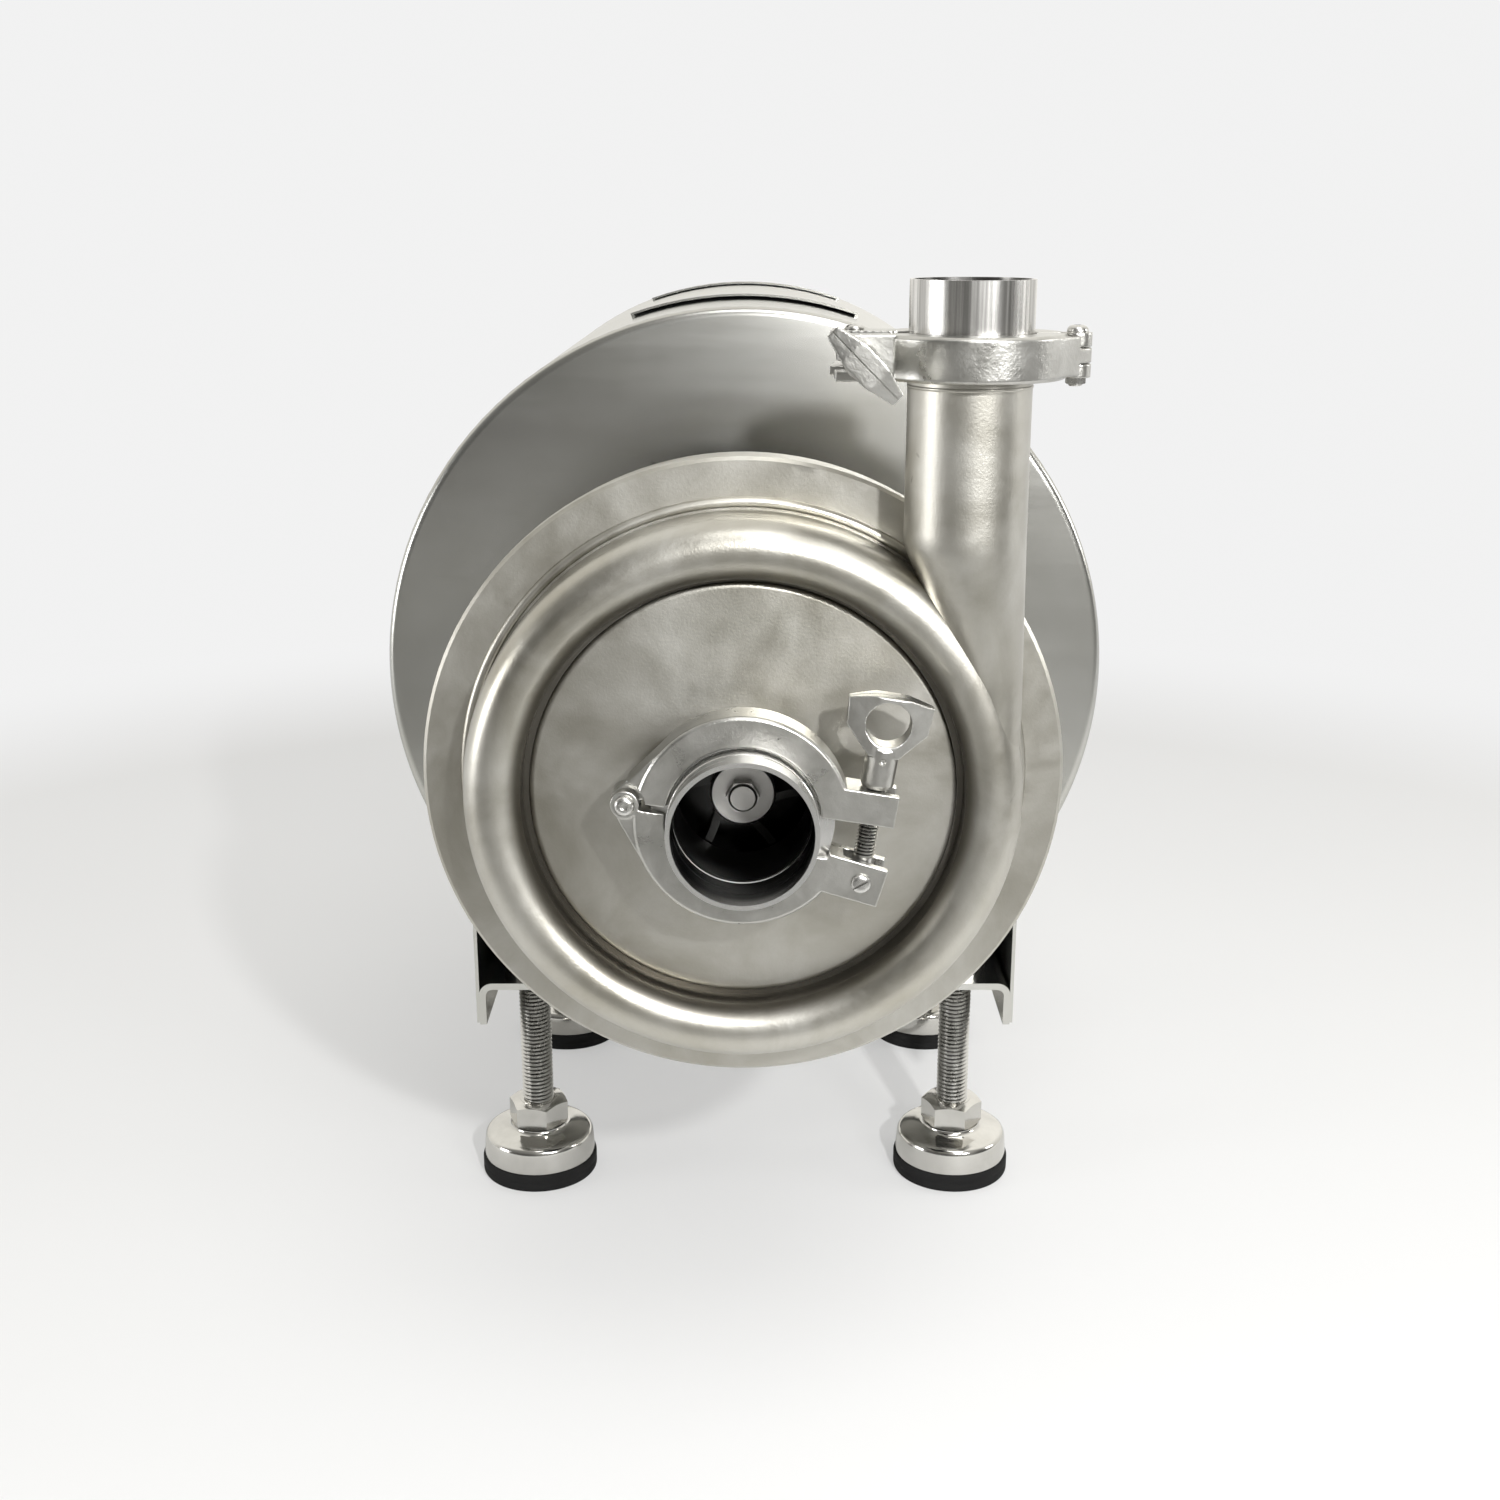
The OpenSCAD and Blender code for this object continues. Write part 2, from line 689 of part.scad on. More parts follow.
// Folded base plate with lips turned down along both sides
module base_plate() {
  half = skirt_half - shroud_sheet - shaft_gap;
  bend = 8;
  on_shaft() color("silver") difference() {
    union() {
      translate([-half + bend, base_front, base_top - base_sheet])
        cube([2 * (half - bend), base_len, base_sheet]);
      for (side = [-1, 1]) {
        intersection() {
          translate([side * (half - bend), 0, base_top - bend])
            ring_y(bend, bend - base_sheet, base_front, base_front + base_len);
          translate([side * (half - bend / 2) - bend / 2, base_front - 1, base_top - bend])
            cube([bend, base_len + 2, bend + 1]);
        }
        translate([side * (half - base_sheet / 2) - base_sheet / 2, base_front, base_top - base_lip])
          cube([base_sheet, base_len, base_lip - bend]);
      }
    }
    for (side = [-1, 1]) {
      for (y = [foot_front, foot_front + foot_pitch])
        translate([side * foot_half, y, base_top - 20]) cylinder(r = rod_d / 2 + bore_gap, h = 30);
      for (end = [-1, 1])
        translate([side * foot_hole_wide / 2, motor_foot_mid + end * foot_hole_long / 2, base_top - 20])
          cylinder(r = 5.5, h = 30);
    }
  }
}

// Four welded nuts on the base plate in which the feet turn
module leg_nuts() {
  on_shaft() color("lightgray") for (side = [-1, 1])
    for (y = [foot_front, foot_front + foot_pitch])
      translate([side * foot_half, y, base_top]) difference() {
        cylinder(r = leg_nut / sqrt(3), h = leg_nut_high, $fn = 6);
        translate([0, 0, -1]) cylinder(r = rod_d / 2 + move_gap, h = leg_nut_high + 2);
      }
}

// The part of a round body from y1 to y2 that lies across the top of the shroud
module top_arc(y1, y2, half_angle) {
  long = y2 - y1 + 2;
  difference() {
    children();
    rotate([0, half_angle, 0]) translate([0, y1 - 1, -300]) cube([300, long, 600]);
    rotate([0, -half_angle, 0]) translate([-300, y1 - 1, -300]) cube([300, long, 600]);
    translate([-300, y1 - 1, -300]) cube([600, long, 300]);
  }
}

// Pressed hood over a top slot, highest at its mouth towards the pump
module slot_hood(y, wide) {
  top_arc(y, y + hood_len, slot_angle) difference() {
    cone_y(shroud_radius + wide / 2 + hood_sheet, shroud_radius - 0.4, y, y + hood_len);
    bar_y(shroud_radius - shroud_sheet / 2, y - 1, y + hood_len + 1);
  }
}

// One slot across the top of the shroud, with the mouth of its hood
module top_slot(y, wide) {
  top_arc(y - 0.5, y + wide, slot_angle - 0.5)
    ring_y(shroud_radius + wide / 2, shroud_radius - 10, y - 0.5, y + wide);
}

// Rolled shroud over the motor with straight skirts down to the base lips
module shroud_shell() {
  skirt_top = -sqrt(pow(shroud_radius - shroud_sheet / 2, 2) - pow(skirt_half - shroud_sheet / 2, 2));
  skirt_low = base_top - base_lip;
  on_shaft() color("silver") difference() {
    union() {
      difference() {
        bar_y(shroud_radius, shroud_back, shroud_end);
        bar_y(shroud_radius - shroud_sheet, shroud_back - 1, shroud_end + 1);
        translate([-skirt_half + shroud_sheet, shroud_back - 1, -300])
          cube([2 * (skirt_half - shroud_sheet), shroud_len + 2, 300]);
        translate([-300, shroud_back - 1, -600 + skirt_top]) cube([600, shroud_len + 2, 600]);
      }
      for (side = [-1, 1])
        translate([side * (skirt_half - shroud_sheet / 2) - shroud_sheet / 2, shroud_back, skirt_low])
          cube([shroud_sheet, shroud_len, skirt_top - skirt_low + 3]);
      for (turn = screw_turns)
        rotate([0, turn, 0]) translate([screw_circle - 8, shroud_end - 14, -9])
          cube([shroud_radius - screw_circle + 7.2, 14, 18]);
      slot_hood(front_slot_y, front_slot);
      slot_hood(rear_slot_y, rear_slot);
    }
    for (turn = screw_turns)
      rotate([0, turn, 0]) translate([screw_circle, 0, 0]) bar_y(3.2, shroud_end - 20, shroud_end + 1);
    top_slot(front_slot_y, front_slot);
    top_slot(rear_slot_y, rear_slot);
  }
}

// Round front plate of the shroud around the lantern
module shroud_front() {
  on_shaft() color("silver") difference() {
    ring_y(shroud_radius - shroud_sheet - shaft_gap, lantern_radius + 1.5, shroud_back, shroud_back + 2);
    translate([-300, shroud_back - 1, base_top - 300]) cube([600, 4, 300 + 2]);
    translate([skirt_half - shroud_sheet - 0.2, shroud_back - 1, -300]) cube([100, 4, 180]);
    translate([-skirt_half + shroud_sheet + 0.2 - 100, shroud_back - 1, -300]) cube([100, 4, 180]);
  }
}

// Round rear plate of the shroud with air slots
module shroud_rear() {
  on_shaft() color("silver") difference() {
    bar_y(shroud_radius, shroud_end, shroud_end + 2);
    translate([-300, shroud_end - 1, base_top - 300]) cube([600, 4, 300 - base_lip]);
    for (row = [-3 : 3])
      translate([-70, shroud_end - 1, row * 22 - 4]) cube([140, 4, 8]);
    for (turn = screw_turns)
      rotate([0, turn, 0]) translate([screw_circle, 0, 0]) bar_y(3.2, shroud_end - 1, shroud_end + 3);
  }
}

// Screws that hold the rear plate
module shroud_screws() {
  on_shaft() color("lightgray") for (turn = screw_turns)
    rotate([0, turn, 0]) translate([screw_circle, 0, 0]) {
      bar_y(5.5, shroud_end + 2, shroud_end + screw_head);
      bar_y(3, shroud_end - 12, shroud_end + 2.2);
    }
}

// Places a clamp piece at the inlet, local z forward and the bolt side to +X
module at_inlet() {
  on_shaft() translate([0, -inlet_joint, 0]) rotate([90, 0, 0]) rotate([0, 0, -inlet_clamp_tilt])
    children();
}

// Places a clamp piece at the outlet, local z up and the bolt side to -X
module at_outlet() {
  on_shaft() translate([outlet_offset, -bead_reach, outlet_joint]) rotate([0, 0, 180]) children();
}

// Groove in a clamp that draws two ferrules together
module clamp_groove(tube_r, rim_r) {
  half = clamp_width / 2;
  rim = rim_r + move_gap;
  edge = gasket_thick / 2 + ferrule_rim + move_gap;
  foot = tube_r + clamp_bore_gap;
  wide = edge + (rim - foot) * tan(20);
  translate([0, 0, -half - 1]) cylinder(r = foot, h = clamp_width + 2);
  translate([0, 0, -edge]) cylinder(r = rim, h = 2 * edge);
  translate([0, 0, edge - 0.01]) cylinder(r1 = rim, r2 = foot, h = wide - edge);
  translate([0, 0, -wide + 0.01]) cylinder(r1 = foot, r2 = rim, h = wide - edge);
}

// Body of a clamp with broken edges, before its groove is cut
module clamp_blank(out_r) {
  half = clamp_width / 2;
  translate([0, 0, -half + clamp_edge]) cylinder(r = out_r, h = clamp_width - 2 * clamp_edge);
  translate([0, 0, half - clamp_edge]) cylinder(r1 = out_r, r2 = out_r - clamp_edge, h = clamp_edge);
  translate([0, 0, -half]) cylinder(r1 = out_r - clamp_edge, r2 = out_r, h = clamp_edge);
}

// Arm that runs straight from the rim of a clamp to its hinge, on the side given
module hinge_arm(out_r, hinge, side, high) {
  lean = (out_r - knuckle_r) / hinge;
  rise = side * sqrt(1 - lean * lean);
  near = knuckle_r - 0.2;
  far = out_r - 0.2;
  translate([0, 0, -high]) linear_extrude(2 * high)
    polygon([[-hinge, 0], [-hinge - near * lean, near * rise], [-far * lean, far * rise],
      [-out_r + 12, side * clamp_split / 2], [-hinge + 5, side * clamp_split / 2]]);
}

// Clamp half with the ear under the wing nut and the hinge tongue
module clamp_nut_half(tube_r, rim_r) {
  out_r = rim_r + clamp_rim;
  hinge = out_r + 4;
  bolt = out_r + swing_bolt_out;
  half = clamp_width / 2;
  difference() {
    union() {
      difference() {
        clamp_blank(out_r);
        translate([-100, -200 + clamp_split / 2, -50]) cube([200, 200, 100]);
        translate([0, -100, -50]) cube([100, 100 + ear_low, 100]);
      }
      difference() {
        hinge_arm(out_r, hinge, 1, half - clamp_edge);
        for (z = [-20, tongue_half])
          translate([-hinge, 0, z]) cylinder(r = knuckle_r + 3, h = 20 - tongue_half);
      }
      translate([-hinge, 0, -tongue_half]) cylinder(r = knuckle_r, h = 2 * tongue_half);
      translate([out_r - 9, ear_low, -half])
        cube([bolt + ear_end - out_r + 9, ear_high - ear_low, clamp_width]);
    }
    for (z = [-20, tongue_half])
      translate([-hinge, 0, z]) cylinder(r = knuckle_r + 2.5, h = 20 - tongue_half);
    translate([-hinge, 0, -20]) cylinder(r = pin_r + move_gap, h = 40);
    translate([bolt, 0, -swing_bolt_d / 2 - 0.8]) cube([40, 60, swing_bolt_d + 1.6]);
    translate([bolt, -1, 0]) rotate([-90, 0, 0]) cylinder(r = swing_bolt_d / 2 + 0.8, h = 60);
    clamp_groove(tube_r, rim_r);
  }
}

// Clamp half with the forked ear of the swing bolt and the forked hinge knuckle
module clamp_pivot_half(tube_r, rim_r) {
  out_r = rim_r + clamp_rim;
  hinge = out_r + 4;
  bolt = out_r + swing_bolt_out;
  half = clamp_width / 2;
  ear_half = 8.5;
  difference() {
    union() {
      difference() {
        clamp_blank(out_r);
        translate([-100, -clamp_split / 2, -50]) cube([200, 200, 100]);
        translate([0, ear_half - pivot_drop, -50]) cube([100, 100, 100]);
      }
      hinge_arm(out_r, hinge, -1, half - clamp_edge);
      translate([-hinge, 0, -half]) cylinder(r = knuckle_r, h = clamp_width);
      translate([bolt, -pivot_drop, -half]) rotate([0, 0, -ear_tilt])
        translate([-swing_bolt_out - 9, -ear_half, 0])
          cube([swing_bolt_out + 9 + ear_end, 2 * ear_half, clamp_width]);
    }
    translate([-hinge, 0, -20]) cylinder(r = pin_r + 0.1, h = 40);
    translate([-hinge, 0, -tongue_half - move_gap])
      cylinder(r = knuckle_r + 0.6, h = 2 * (tongue_half + move_gap));
    translate([bolt - 8.6, -60, -swing_bolt_d / 2 - 0.8]) cube([60, 60 - 1, swing_bolt_d + 1.6]);
    translate([bolt, -pivot_drop, -20]) cylinder(r = pin_r + 0.1, h = 40);
    clamp_groove(tube_r, rim_r);
  }
}

// Hinge pin of a clamp with a round head at each end
module clamp_hinge_pin(rim_r) {
  half = clamp_width / 2;
  translate([-rim_r - clamp_rim - 4, 0, 0]) {
    translate([0, 0, -half - 1]) cylinder(r = pin_r, h = clamp_width + 2);
    translate([0, 0, half]) cylinder(r = 4.4, h = 3);
    translate([0, 0, -half - 3]) cylinder(r = 4.4, h = 3);
  }
}

// Cross pin of a swing bolt with a slotted head
module clamp_pivot_pin(rim_r) {
  half = clamp_width / 2;
  translate([rim_r + clamp_rim + swing_bolt_out, -pivot_drop, 0]) difference() {
    union() {
      translate([0, 0, -half]) cylinder(r = pin_r, h = clamp_width + 0.5);
      translate([0, 0, half]) cylinder(r = 4.2, h = 2);
    }
    translate([-6, -0.6, half + 1]) cube([12, 1.2, 4]);
  }
}

// Swing bolt with the eye that turns on its cross pin
module clamp_swing_bolt(rim_r) {
  translate([rim_r + clamp_rim + swing_bolt_out, -pivot_drop, 0]) difference() {
    union() {
      translate([0, 0, 0.5 - swing_bolt_d / 2]) cylinder(r = 7.5, h = swing_bolt_d - 1);
      translate([0, 5, 0]) rotate([-90, 0, 0])
        cylinder(r = swing_bolt_d / 2, h = pivot_drop + nut_seat + 16 - 5);
    }
    translate([0, 0, -20]) cylinder(r = pin_r + move_gap, h = 40);
  }
}

// Wing nut with a shield shaped wing, thicker at its middle, and a round eye
module clamp_wing_nut(rim_r, turn) {
  bolt_r = swing_bolt_d / 2 + move_gap;
  neck = nut_neck;
  half = wing_width / 2;
  mid = wing_middle / 2;
  end = wing_thick / 2;
  translate([rim_r + clamp_rim + swing_bolt_out, nut_seat, 0]) rotate([0, turn, 0]) difference() {
    union() {
      rotate([-90, 0, 0]) cylinder(r1 = 6, r2 = 7, h = 2);
      translate([0, 2, 0]) rotate([-90, 0, 0]) cylinder(r = 7, h = neck);
      intersection() {
        translate([0, 0, -20]) linear_extrude(40)
          polygon([[-6.5, neck - 1], [6.5, neck - 1], [half - 1, neck + 10], [half, neck + 22],
            [half * 0.4, nut_high], [-half * 0.4, nut_high], [-half, neck + 22], [-half + 1, neck + 10]]);
        translate([0, 60, 0]) rotate([90, 0, 0]) linear_extrude(60)
          polygon([[-half - 1, -end], [-5, -mid], [5, -mid], [half + 1, -end], [half + 1, end], [5, mid],
            [-5, mid], [-half - 1, end]]);
      }
    }
    translate([0, -1, 0]) rotate([-90, 0, 0]) cylinder(r = bolt_r, h = neck + 3);
    translate([0, neck + 13, -20]) cylinder(r = wing_eye, h = 40);
  }
}

// Welding stub clamped to the inlet
module inlet_stub() {
  on_shaft() color("lightgray") translate([0, -inlet_joint - gasket_thick / 2, 0]) rotate([-90, 0, 0])
    ferrule(inlet_r, inlet_ferrule_d / 2, inlet_stub_len - gasket_thick / 2, 2);
}

// Sealing ring of the inlet joint
module inlet_gasket() {
  on_shaft() color("white") translate([0, -inlet_joint, 0]) rotate([90, 0, 0])
    joint_gasket(inlet_r, inlet_ferrule_d / 2, 2);
}

// Lower half of the inlet clamp
module inlet_clamp_lower() {
  at_inlet() color("silver") clamp_pivot_half(inlet_r, inlet_ferrule_d / 2);
}

// Upper half of the inlet clamp, which swings open
module inlet_clamp_upper() {
  at_inlet() color("silver") clamp_nut_half(inlet_r, inlet_ferrule_d / 2);
}

// Hinge pin of the inlet clamp
module inlet_hinge_pin() {
  at_inlet() color("lightgray") clamp_hinge_pin(inlet_ferrule_d / 2);
}

// Cross pin of the inlet swing bolt
module inlet_pivot_pin() {
  at_inlet() color("lightgray") clamp_pivot_pin(inlet_ferrule_d / 2);
}

// Swing bolt of the inlet clamp
module inlet_swing_bolt() {
  at_inlet() color("lightgray") clamp_swing_bolt(inlet_ferrule_d / 2);
}

// Wing nut of the inlet clamp
module inlet_wing_nut() {
  at_inlet() color("silver") clamp_wing_nut(inlet_ferrule_d / 2, 0);
}

// Welding stub clamped to the discharge
module outlet_stub() {
  on_shaft() color("lightgray")
    translate([outlet_offset, -bead_reach, outlet_joint + gasket_thick / 2]) rotate([180, 0, 0])
      ferrule(outlet_r, outlet_ferrule_d / 2, outlet_stub_len - gasket_thick / 2, 2);
}

// Sealing ring of the discharge joint
module outlet_gasket() {
  on_shaft() color("white") translate([outlet_offset, -bead_reach, outlet_joint])
    joint_gasket(outlet_r, outlet_ferrule_d / 2, 2);
}

// Rear half of the discharge clamp
module outlet_clamp_rear() {
  at_outlet() color("silver") clamp_pivot_half(outlet_r, outlet_ferrule_d / 2);
}

// Front half of the discharge clamp, which swings open
module outlet_clamp_front() {
  at_outlet() color("silver") clamp_nut_half(outlet_r, outlet_ferrule_d / 2);
}

// Hinge pin of the discharge clamp
module outlet_hinge_pin() {
  at_outlet() color("lightgray") clamp_hinge_pin(outlet_ferrule_d / 2);
}

// Cross pin of the discharge swing bolt
module outlet_pivot_pin() {
  at_outlet() color("lightgray") clamp_pivot_pin(outlet_ferrule_d / 2);
}

// Swing bolt of the discharge clamp
module outlet_swing_bolt() {
  at_outlet() color("lightgray") clamp_swing_bolt(outlet_ferrule_d / 2);
}

// Wing nut of the discharge clamp, its wing turned on the slant
module outlet_wing_nut() {
  at_outlet() color("silver") clamp_wing_nut(outlet_ferrule_d / 2, -45);
}

// Steel part of a foot: cup, hexagon and threaded rod in one
module levelling_foot(x, y) {
  cup_r = pad_d / 2 - 1;
  cup_roll = cup_height * 0.2;
  cup_side = cup_height * 0.6;
  translate([x, y + y_shift, 0]) color("silver") {
    translate([0, 0, pad_height]) cylinder(r = cup_r, h = cup_side);
    translate([0, 0, pad_height + cup_side - 0.3]) rotate_extrude()
      translate([cup_r - cup_roll - 0.4, 0]) circle(r = cup_roll);
    translate([0, 0, pad_height + cup_side - 0.5]) cylinder(r = cup_r - cup_roll, h = cup_roll);
    translate([0, 0, pad_height + cup_side + cup_roll - 1.3])
      cylinder(r1 = cup_r - cup_roll + 1.6, r2 = rod_hex / 2, h = cup_height - cup_side - cup_roll + 1.3);
    translate([0, 0, foot_top - 0.5]) cylinder(r = rod_hex / sqrt(3), h = hex_high, $fn = 6);
    translate([0, 0, foot_top]) cylinder(r = rod_d / 2, h = rod_top - foot_top);
  }
}

// Rubber pad under a foot
module rubber_pad(x, y) {
  translate([x, y + y_shift, 0]) color("black") {
    cylinder(r1 = pad_d / 2 - 1, r2 = pad_d / 2, h = 1.5);
    translate([0, 0, 1.5]) cylinder(r = pad_d / 2, h = pad_height - 1.5);
  }
}

// Front left foot
module foot_front_left() {
  levelling_foot(-foot_half, foot_front);
}

// Rubber pad of the front left foot
module pad_front_left() {
  rubber_pad(-foot_half, foot_front);
}

// Front right foot
module foot_front_right() {
  levelling_foot(foot_half, foot_front);
}

// Rubber pad of the front right foot
module pad_front_right() {
  rubber_pad(foot_half, foot_front);
}

// Rear left foot
module foot_rear_left() {
  levelling_foot(-foot_half, foot_front + foot_pitch);
}

// Rubber pad of the rear left foot
module pad_rear_left() {
  rubber_pad(-foot_half, foot_front + foot_pitch);
}

// Rear right foot
module foot_rear_right() {
  levelling_foot(foot_half, foot_front + foot_pitch);
}

// Rubber pad of the rear right foot
module pad_rear_right() {
  rubber_pad(foot_half, foot_front + foot_pitch);
}

pump_casing();
casing_nuts();
casing_o_ring();
back_plate();
lantern();
lantern_screws();
impeller();
hub_cap();
impeller_bolt();
seal_rotor();
seal_seat();
pump_shaft();
motor_shaft();
rotor_core();
front_bearing();
rear_bearing();
motor_fan();
front_bell();
rear_bell();
motor_frame();
stator_core();
stator_windings();
fan_cowl();
terminal_box();
terminal_lid();
motor_rails();
motor_bolts();
base_plate();
leg_nuts();
shroud_shell();
shroud_front();
shroud_rear();
shroud_screws();
inlet_stub();
inlet_gasket();
inlet_clamp_lower();
inlet_clamp_upper();
inlet_hinge_pin();
inlet_pivot_pin();
inlet_swing_bolt();
inlet_wing_nut();
outlet_stub();
outlet_gasket();
outlet_clamp_rear();
outlet_clamp_front();
outlet_hinge_pin();
outlet_pivot_pin();
outlet_swing_bolt();
outlet_wing_nut();
foot_front_left();
pad_front_left();
foot_front_right();
pad_front_right();
foot_rear_left();
pad_rear_left();
foot_rear_right();
pad_rear_right();
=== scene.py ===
import json
import math
import bpy
import bmesh
from mathutils import Matrix, Vector


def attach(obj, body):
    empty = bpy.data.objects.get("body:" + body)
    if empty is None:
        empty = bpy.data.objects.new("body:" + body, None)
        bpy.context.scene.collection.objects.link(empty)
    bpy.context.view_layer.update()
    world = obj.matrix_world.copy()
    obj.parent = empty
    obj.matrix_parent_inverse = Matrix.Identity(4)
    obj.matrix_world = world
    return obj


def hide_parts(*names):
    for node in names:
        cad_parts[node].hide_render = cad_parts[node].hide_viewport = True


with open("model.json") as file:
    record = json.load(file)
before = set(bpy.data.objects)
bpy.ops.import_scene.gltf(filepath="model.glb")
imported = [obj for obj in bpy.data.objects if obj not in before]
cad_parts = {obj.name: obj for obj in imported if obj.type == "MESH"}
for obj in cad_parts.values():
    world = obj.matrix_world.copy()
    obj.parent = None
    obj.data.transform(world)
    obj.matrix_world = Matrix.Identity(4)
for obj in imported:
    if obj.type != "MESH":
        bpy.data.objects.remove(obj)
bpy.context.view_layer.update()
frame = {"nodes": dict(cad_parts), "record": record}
bpy.ops.object.select_all(action="DESELECT")
print("frame loaded, nodes:", len(frame["nodes"]))

# shaft line, flange face, pipe joints, swing bolts and feet in this frame, in metres; the tilt in degrees
place = {
    "shaftHeight": 0.325,
    "flangeFace": -0.257175,
    "inletJoint": 0.0545,
    "outletOffset": 0.093,
    "outletReach": 0.0265,
    "outletJoint": 0.1885,
    "inletTilt": 9.0,
    "inletBolt": 0.05325,
    "outletBolt": 0.0465,
    "footSide": 0.1275,
    "footFront": -0.023175,
    "footRear": 0.172825,
}


def clampFrame(origin, uWay, vWay):
    # u runs from the clamp's hinge to its bolt, v along the bolt
    u, v = Vector(uWay), Vector(vWay)
    w = u.cross(v)
    rows = [(u[i], v[i], w[i], origin[i]) for i in range(3)]
    return Matrix((*rows, (0, 0, 0, 1)))


tilt = math.radians(place["inletTilt"])
inletFrame = clampFrame((0, place["flangeFace"] - place["inletJoint"], place["shaftHeight"]),
                        (math.cos(tilt), 0, -math.sin(tilt)), (math.sin(tilt), 0, math.cos(tilt)))
outletFrame = clampFrame((place["outletOffset"], place["flangeFace"] - place["outletReach"],
                          place["shaftHeight"] + place["outletJoint"]), (-1, 0, 0), (0, -1, 0))


def newMaterial(name):
    mat = bpy.data.materials.new(name)
    mat.use_nodes = True
    nodes, links = mat.node_tree.nodes, mat.node_tree.links
    nodes.clear()
    out = nodes.new("ShaderNodeOutputMaterial")
    shader = nodes.new("ShaderNodeBsdfPrincipled")
    links.new(shader.outputs["BSDF"], out.inputs["Surface"])
    return mat, nodes, links, shader


def rampNode(nodes, links, value, span, low, high, kind="SMOOTHSTEP"):
    # goes from low to high while the value goes through the span
    node = nodes.new("ShaderNodeMapRange")
    node.interpolation_type = kind
    for label, number in zip(("From Min", "From Max", "To Min", "To Max"), (*span, low, high)):
        node.inputs[label].default_value = number
    links.new(value, node.inputs["Value"])
    return node.outputs["Result"]


def mathNode(nodes, links, operation, first, second):
    node = nodes.new("ShaderNodeMath")
    node.operation = operation
    for socket, value in zip(node.inputs, (first, second)):
        if isinstance(value, float):
            socket.default_value = value
        else:
            links.new(value, socket)
    return node.outputs["Value"]


def vectorNode(nodes, links, operation, first, second=None):
    node = nodes.new("ShaderNodeVectorMath")
    node.operation = operation
    for socket, value in zip(node.inputs, (first, second)):
        if isinstance(value, tuple):
            socket.default_value = value
        elif value is not None:
            links.new(value, socket)
    return node.outputs


def mixNode(nodes, links, factor, first, second):
    # each side is a colour or another node's output
    node = nodes.new("ShaderNodeMix")
    node.data_type = "RGBA"
    links.new(factor, node.inputs["Factor"])
    for label, value in (("A", first), ("B", second)):
        if isinstance(value, tuple):
            node.inputs[label].default_value = (*value, 1)
        else:
            links.new(value, node.inputs[label])
    return node.outputs["Result"]


def mixShader(nodes, links, factor, first, second):
    node = nodes.new("ShaderNodeMixShader")
    for socket, value in zip(node.inputs, (factor, first, second)):
        links.new(value, socket)
    return node.outputs["Shader"]


def splitSpot(nodes, links, spot):
    node = nodes.new("ShaderNodeSeparateXYZ")
    links.new(spot, node.inputs["Vector"])
    return node.outputs


def seenRays(nodes, links):
    # rays of the camera, and rays mirrored by metal
    path = nodes.new("ShaderNodeLightPath").outputs
    mirrored = mathNode(nodes, links, "MAXIMUM", path["Is Glossy Ray"], path["Is Transmission Ray"])
    return path["Is Camera Ray"], mirrored


# pale floor that runs out into the white background
floorLook = {
    "size": 16.0, "rough": 0.75, "pale": (0.77, 0.77, 0.765), "dim": (0.20, 0.20, 0.195),
    "dimSpan": (-0.85, -0.40),  # along Y, where the floor dims in front of the pump
    "paleSpan": (-2.20, -1.30), "paleShare": 0.85,  # and where it is pale again
    "fadeSpan": (0.62, 1.5), "shadowLift": 0.45,  # how it goes over into white for the camera
}
white = (0.885, 0.885, 0.885)


def makeFloor():
    look = floorLook
    bpy.ops.mesh.primitive_plane_add(size=look["size"], location=(0, 0, 0))
    floor = bpy.context.object
    floor.name = "studioFloor"
    mat, nodes, links, shader = newMaterial("paleFloor")
    shader.inputs["Roughness"].default_value = look["rough"]
    spot = nodes.new("ShaderNodeTexCoord").outputs["Object"]
    along = splitSpot(nodes, links, spot)["Y"]
    dim = rampNode(nodes, links, along, look["dimSpan"], 0.0, 1.0)
    pale = rampNode(nodes, links, along, look["paleSpan"], look["paleShare"], 0.0)
    camera, mirrored = seenRays(nodes, links)
    tone = mathNode(nodes, links, "MAXIMUM", mathNode(nodes, links, "MAXIMUM", dim, pale), camera)
    links.new(mixNode(nodes, links, tone, look["dim"], look["pale"]), shader.inputs["Base Color"])
    far = vectorNode(nodes, links, "LENGTH", spot)["Value"]
    fade = rampNode(nodes, links, far, look["fadeSpan"], 0.0, 1.0)
    seen = mathNode(nodes, links, "MAXIMUM", camera, mathNode(nodes, links, "MULTIPLY", mirrored, dim))
    lift = mathNode(nodes, links, "MULTIPLY", camera, look["shadowLift"])
    share = mathNode(nodes, links, "MAXIMUM", mathNode(nodes, links, "MULTIPLY", seen, fade), lift)
    glow = nodes.new("ShaderNodeEmission")
    glow.inputs["Color"].default_value = (*white, 1)
    surface = mixShader(nodes, links, share, shader.outputs["BSDF"], glow.outputs["Emission"])
    links.new(surface, nodes["Material Output"].inputs["Surface"])
    floor.data.materials.append(mat)


# a room that is bright behind the pump and dimmer behind the camera; spans are parts of the view direction
roomLook = {
    "color": (1.0, 0.98, 0.925), "light": 0.66,
    "front": 0.12, "behind": 0.95, "backSpan": (-0.35, 0.25),
    "above": 0.18, "highSpan": (0.15, 0.8),
    "right": 0.26, "rightSpan": (-0.3, 0.35), "farRightSpan": (0.45, 0.85),
}


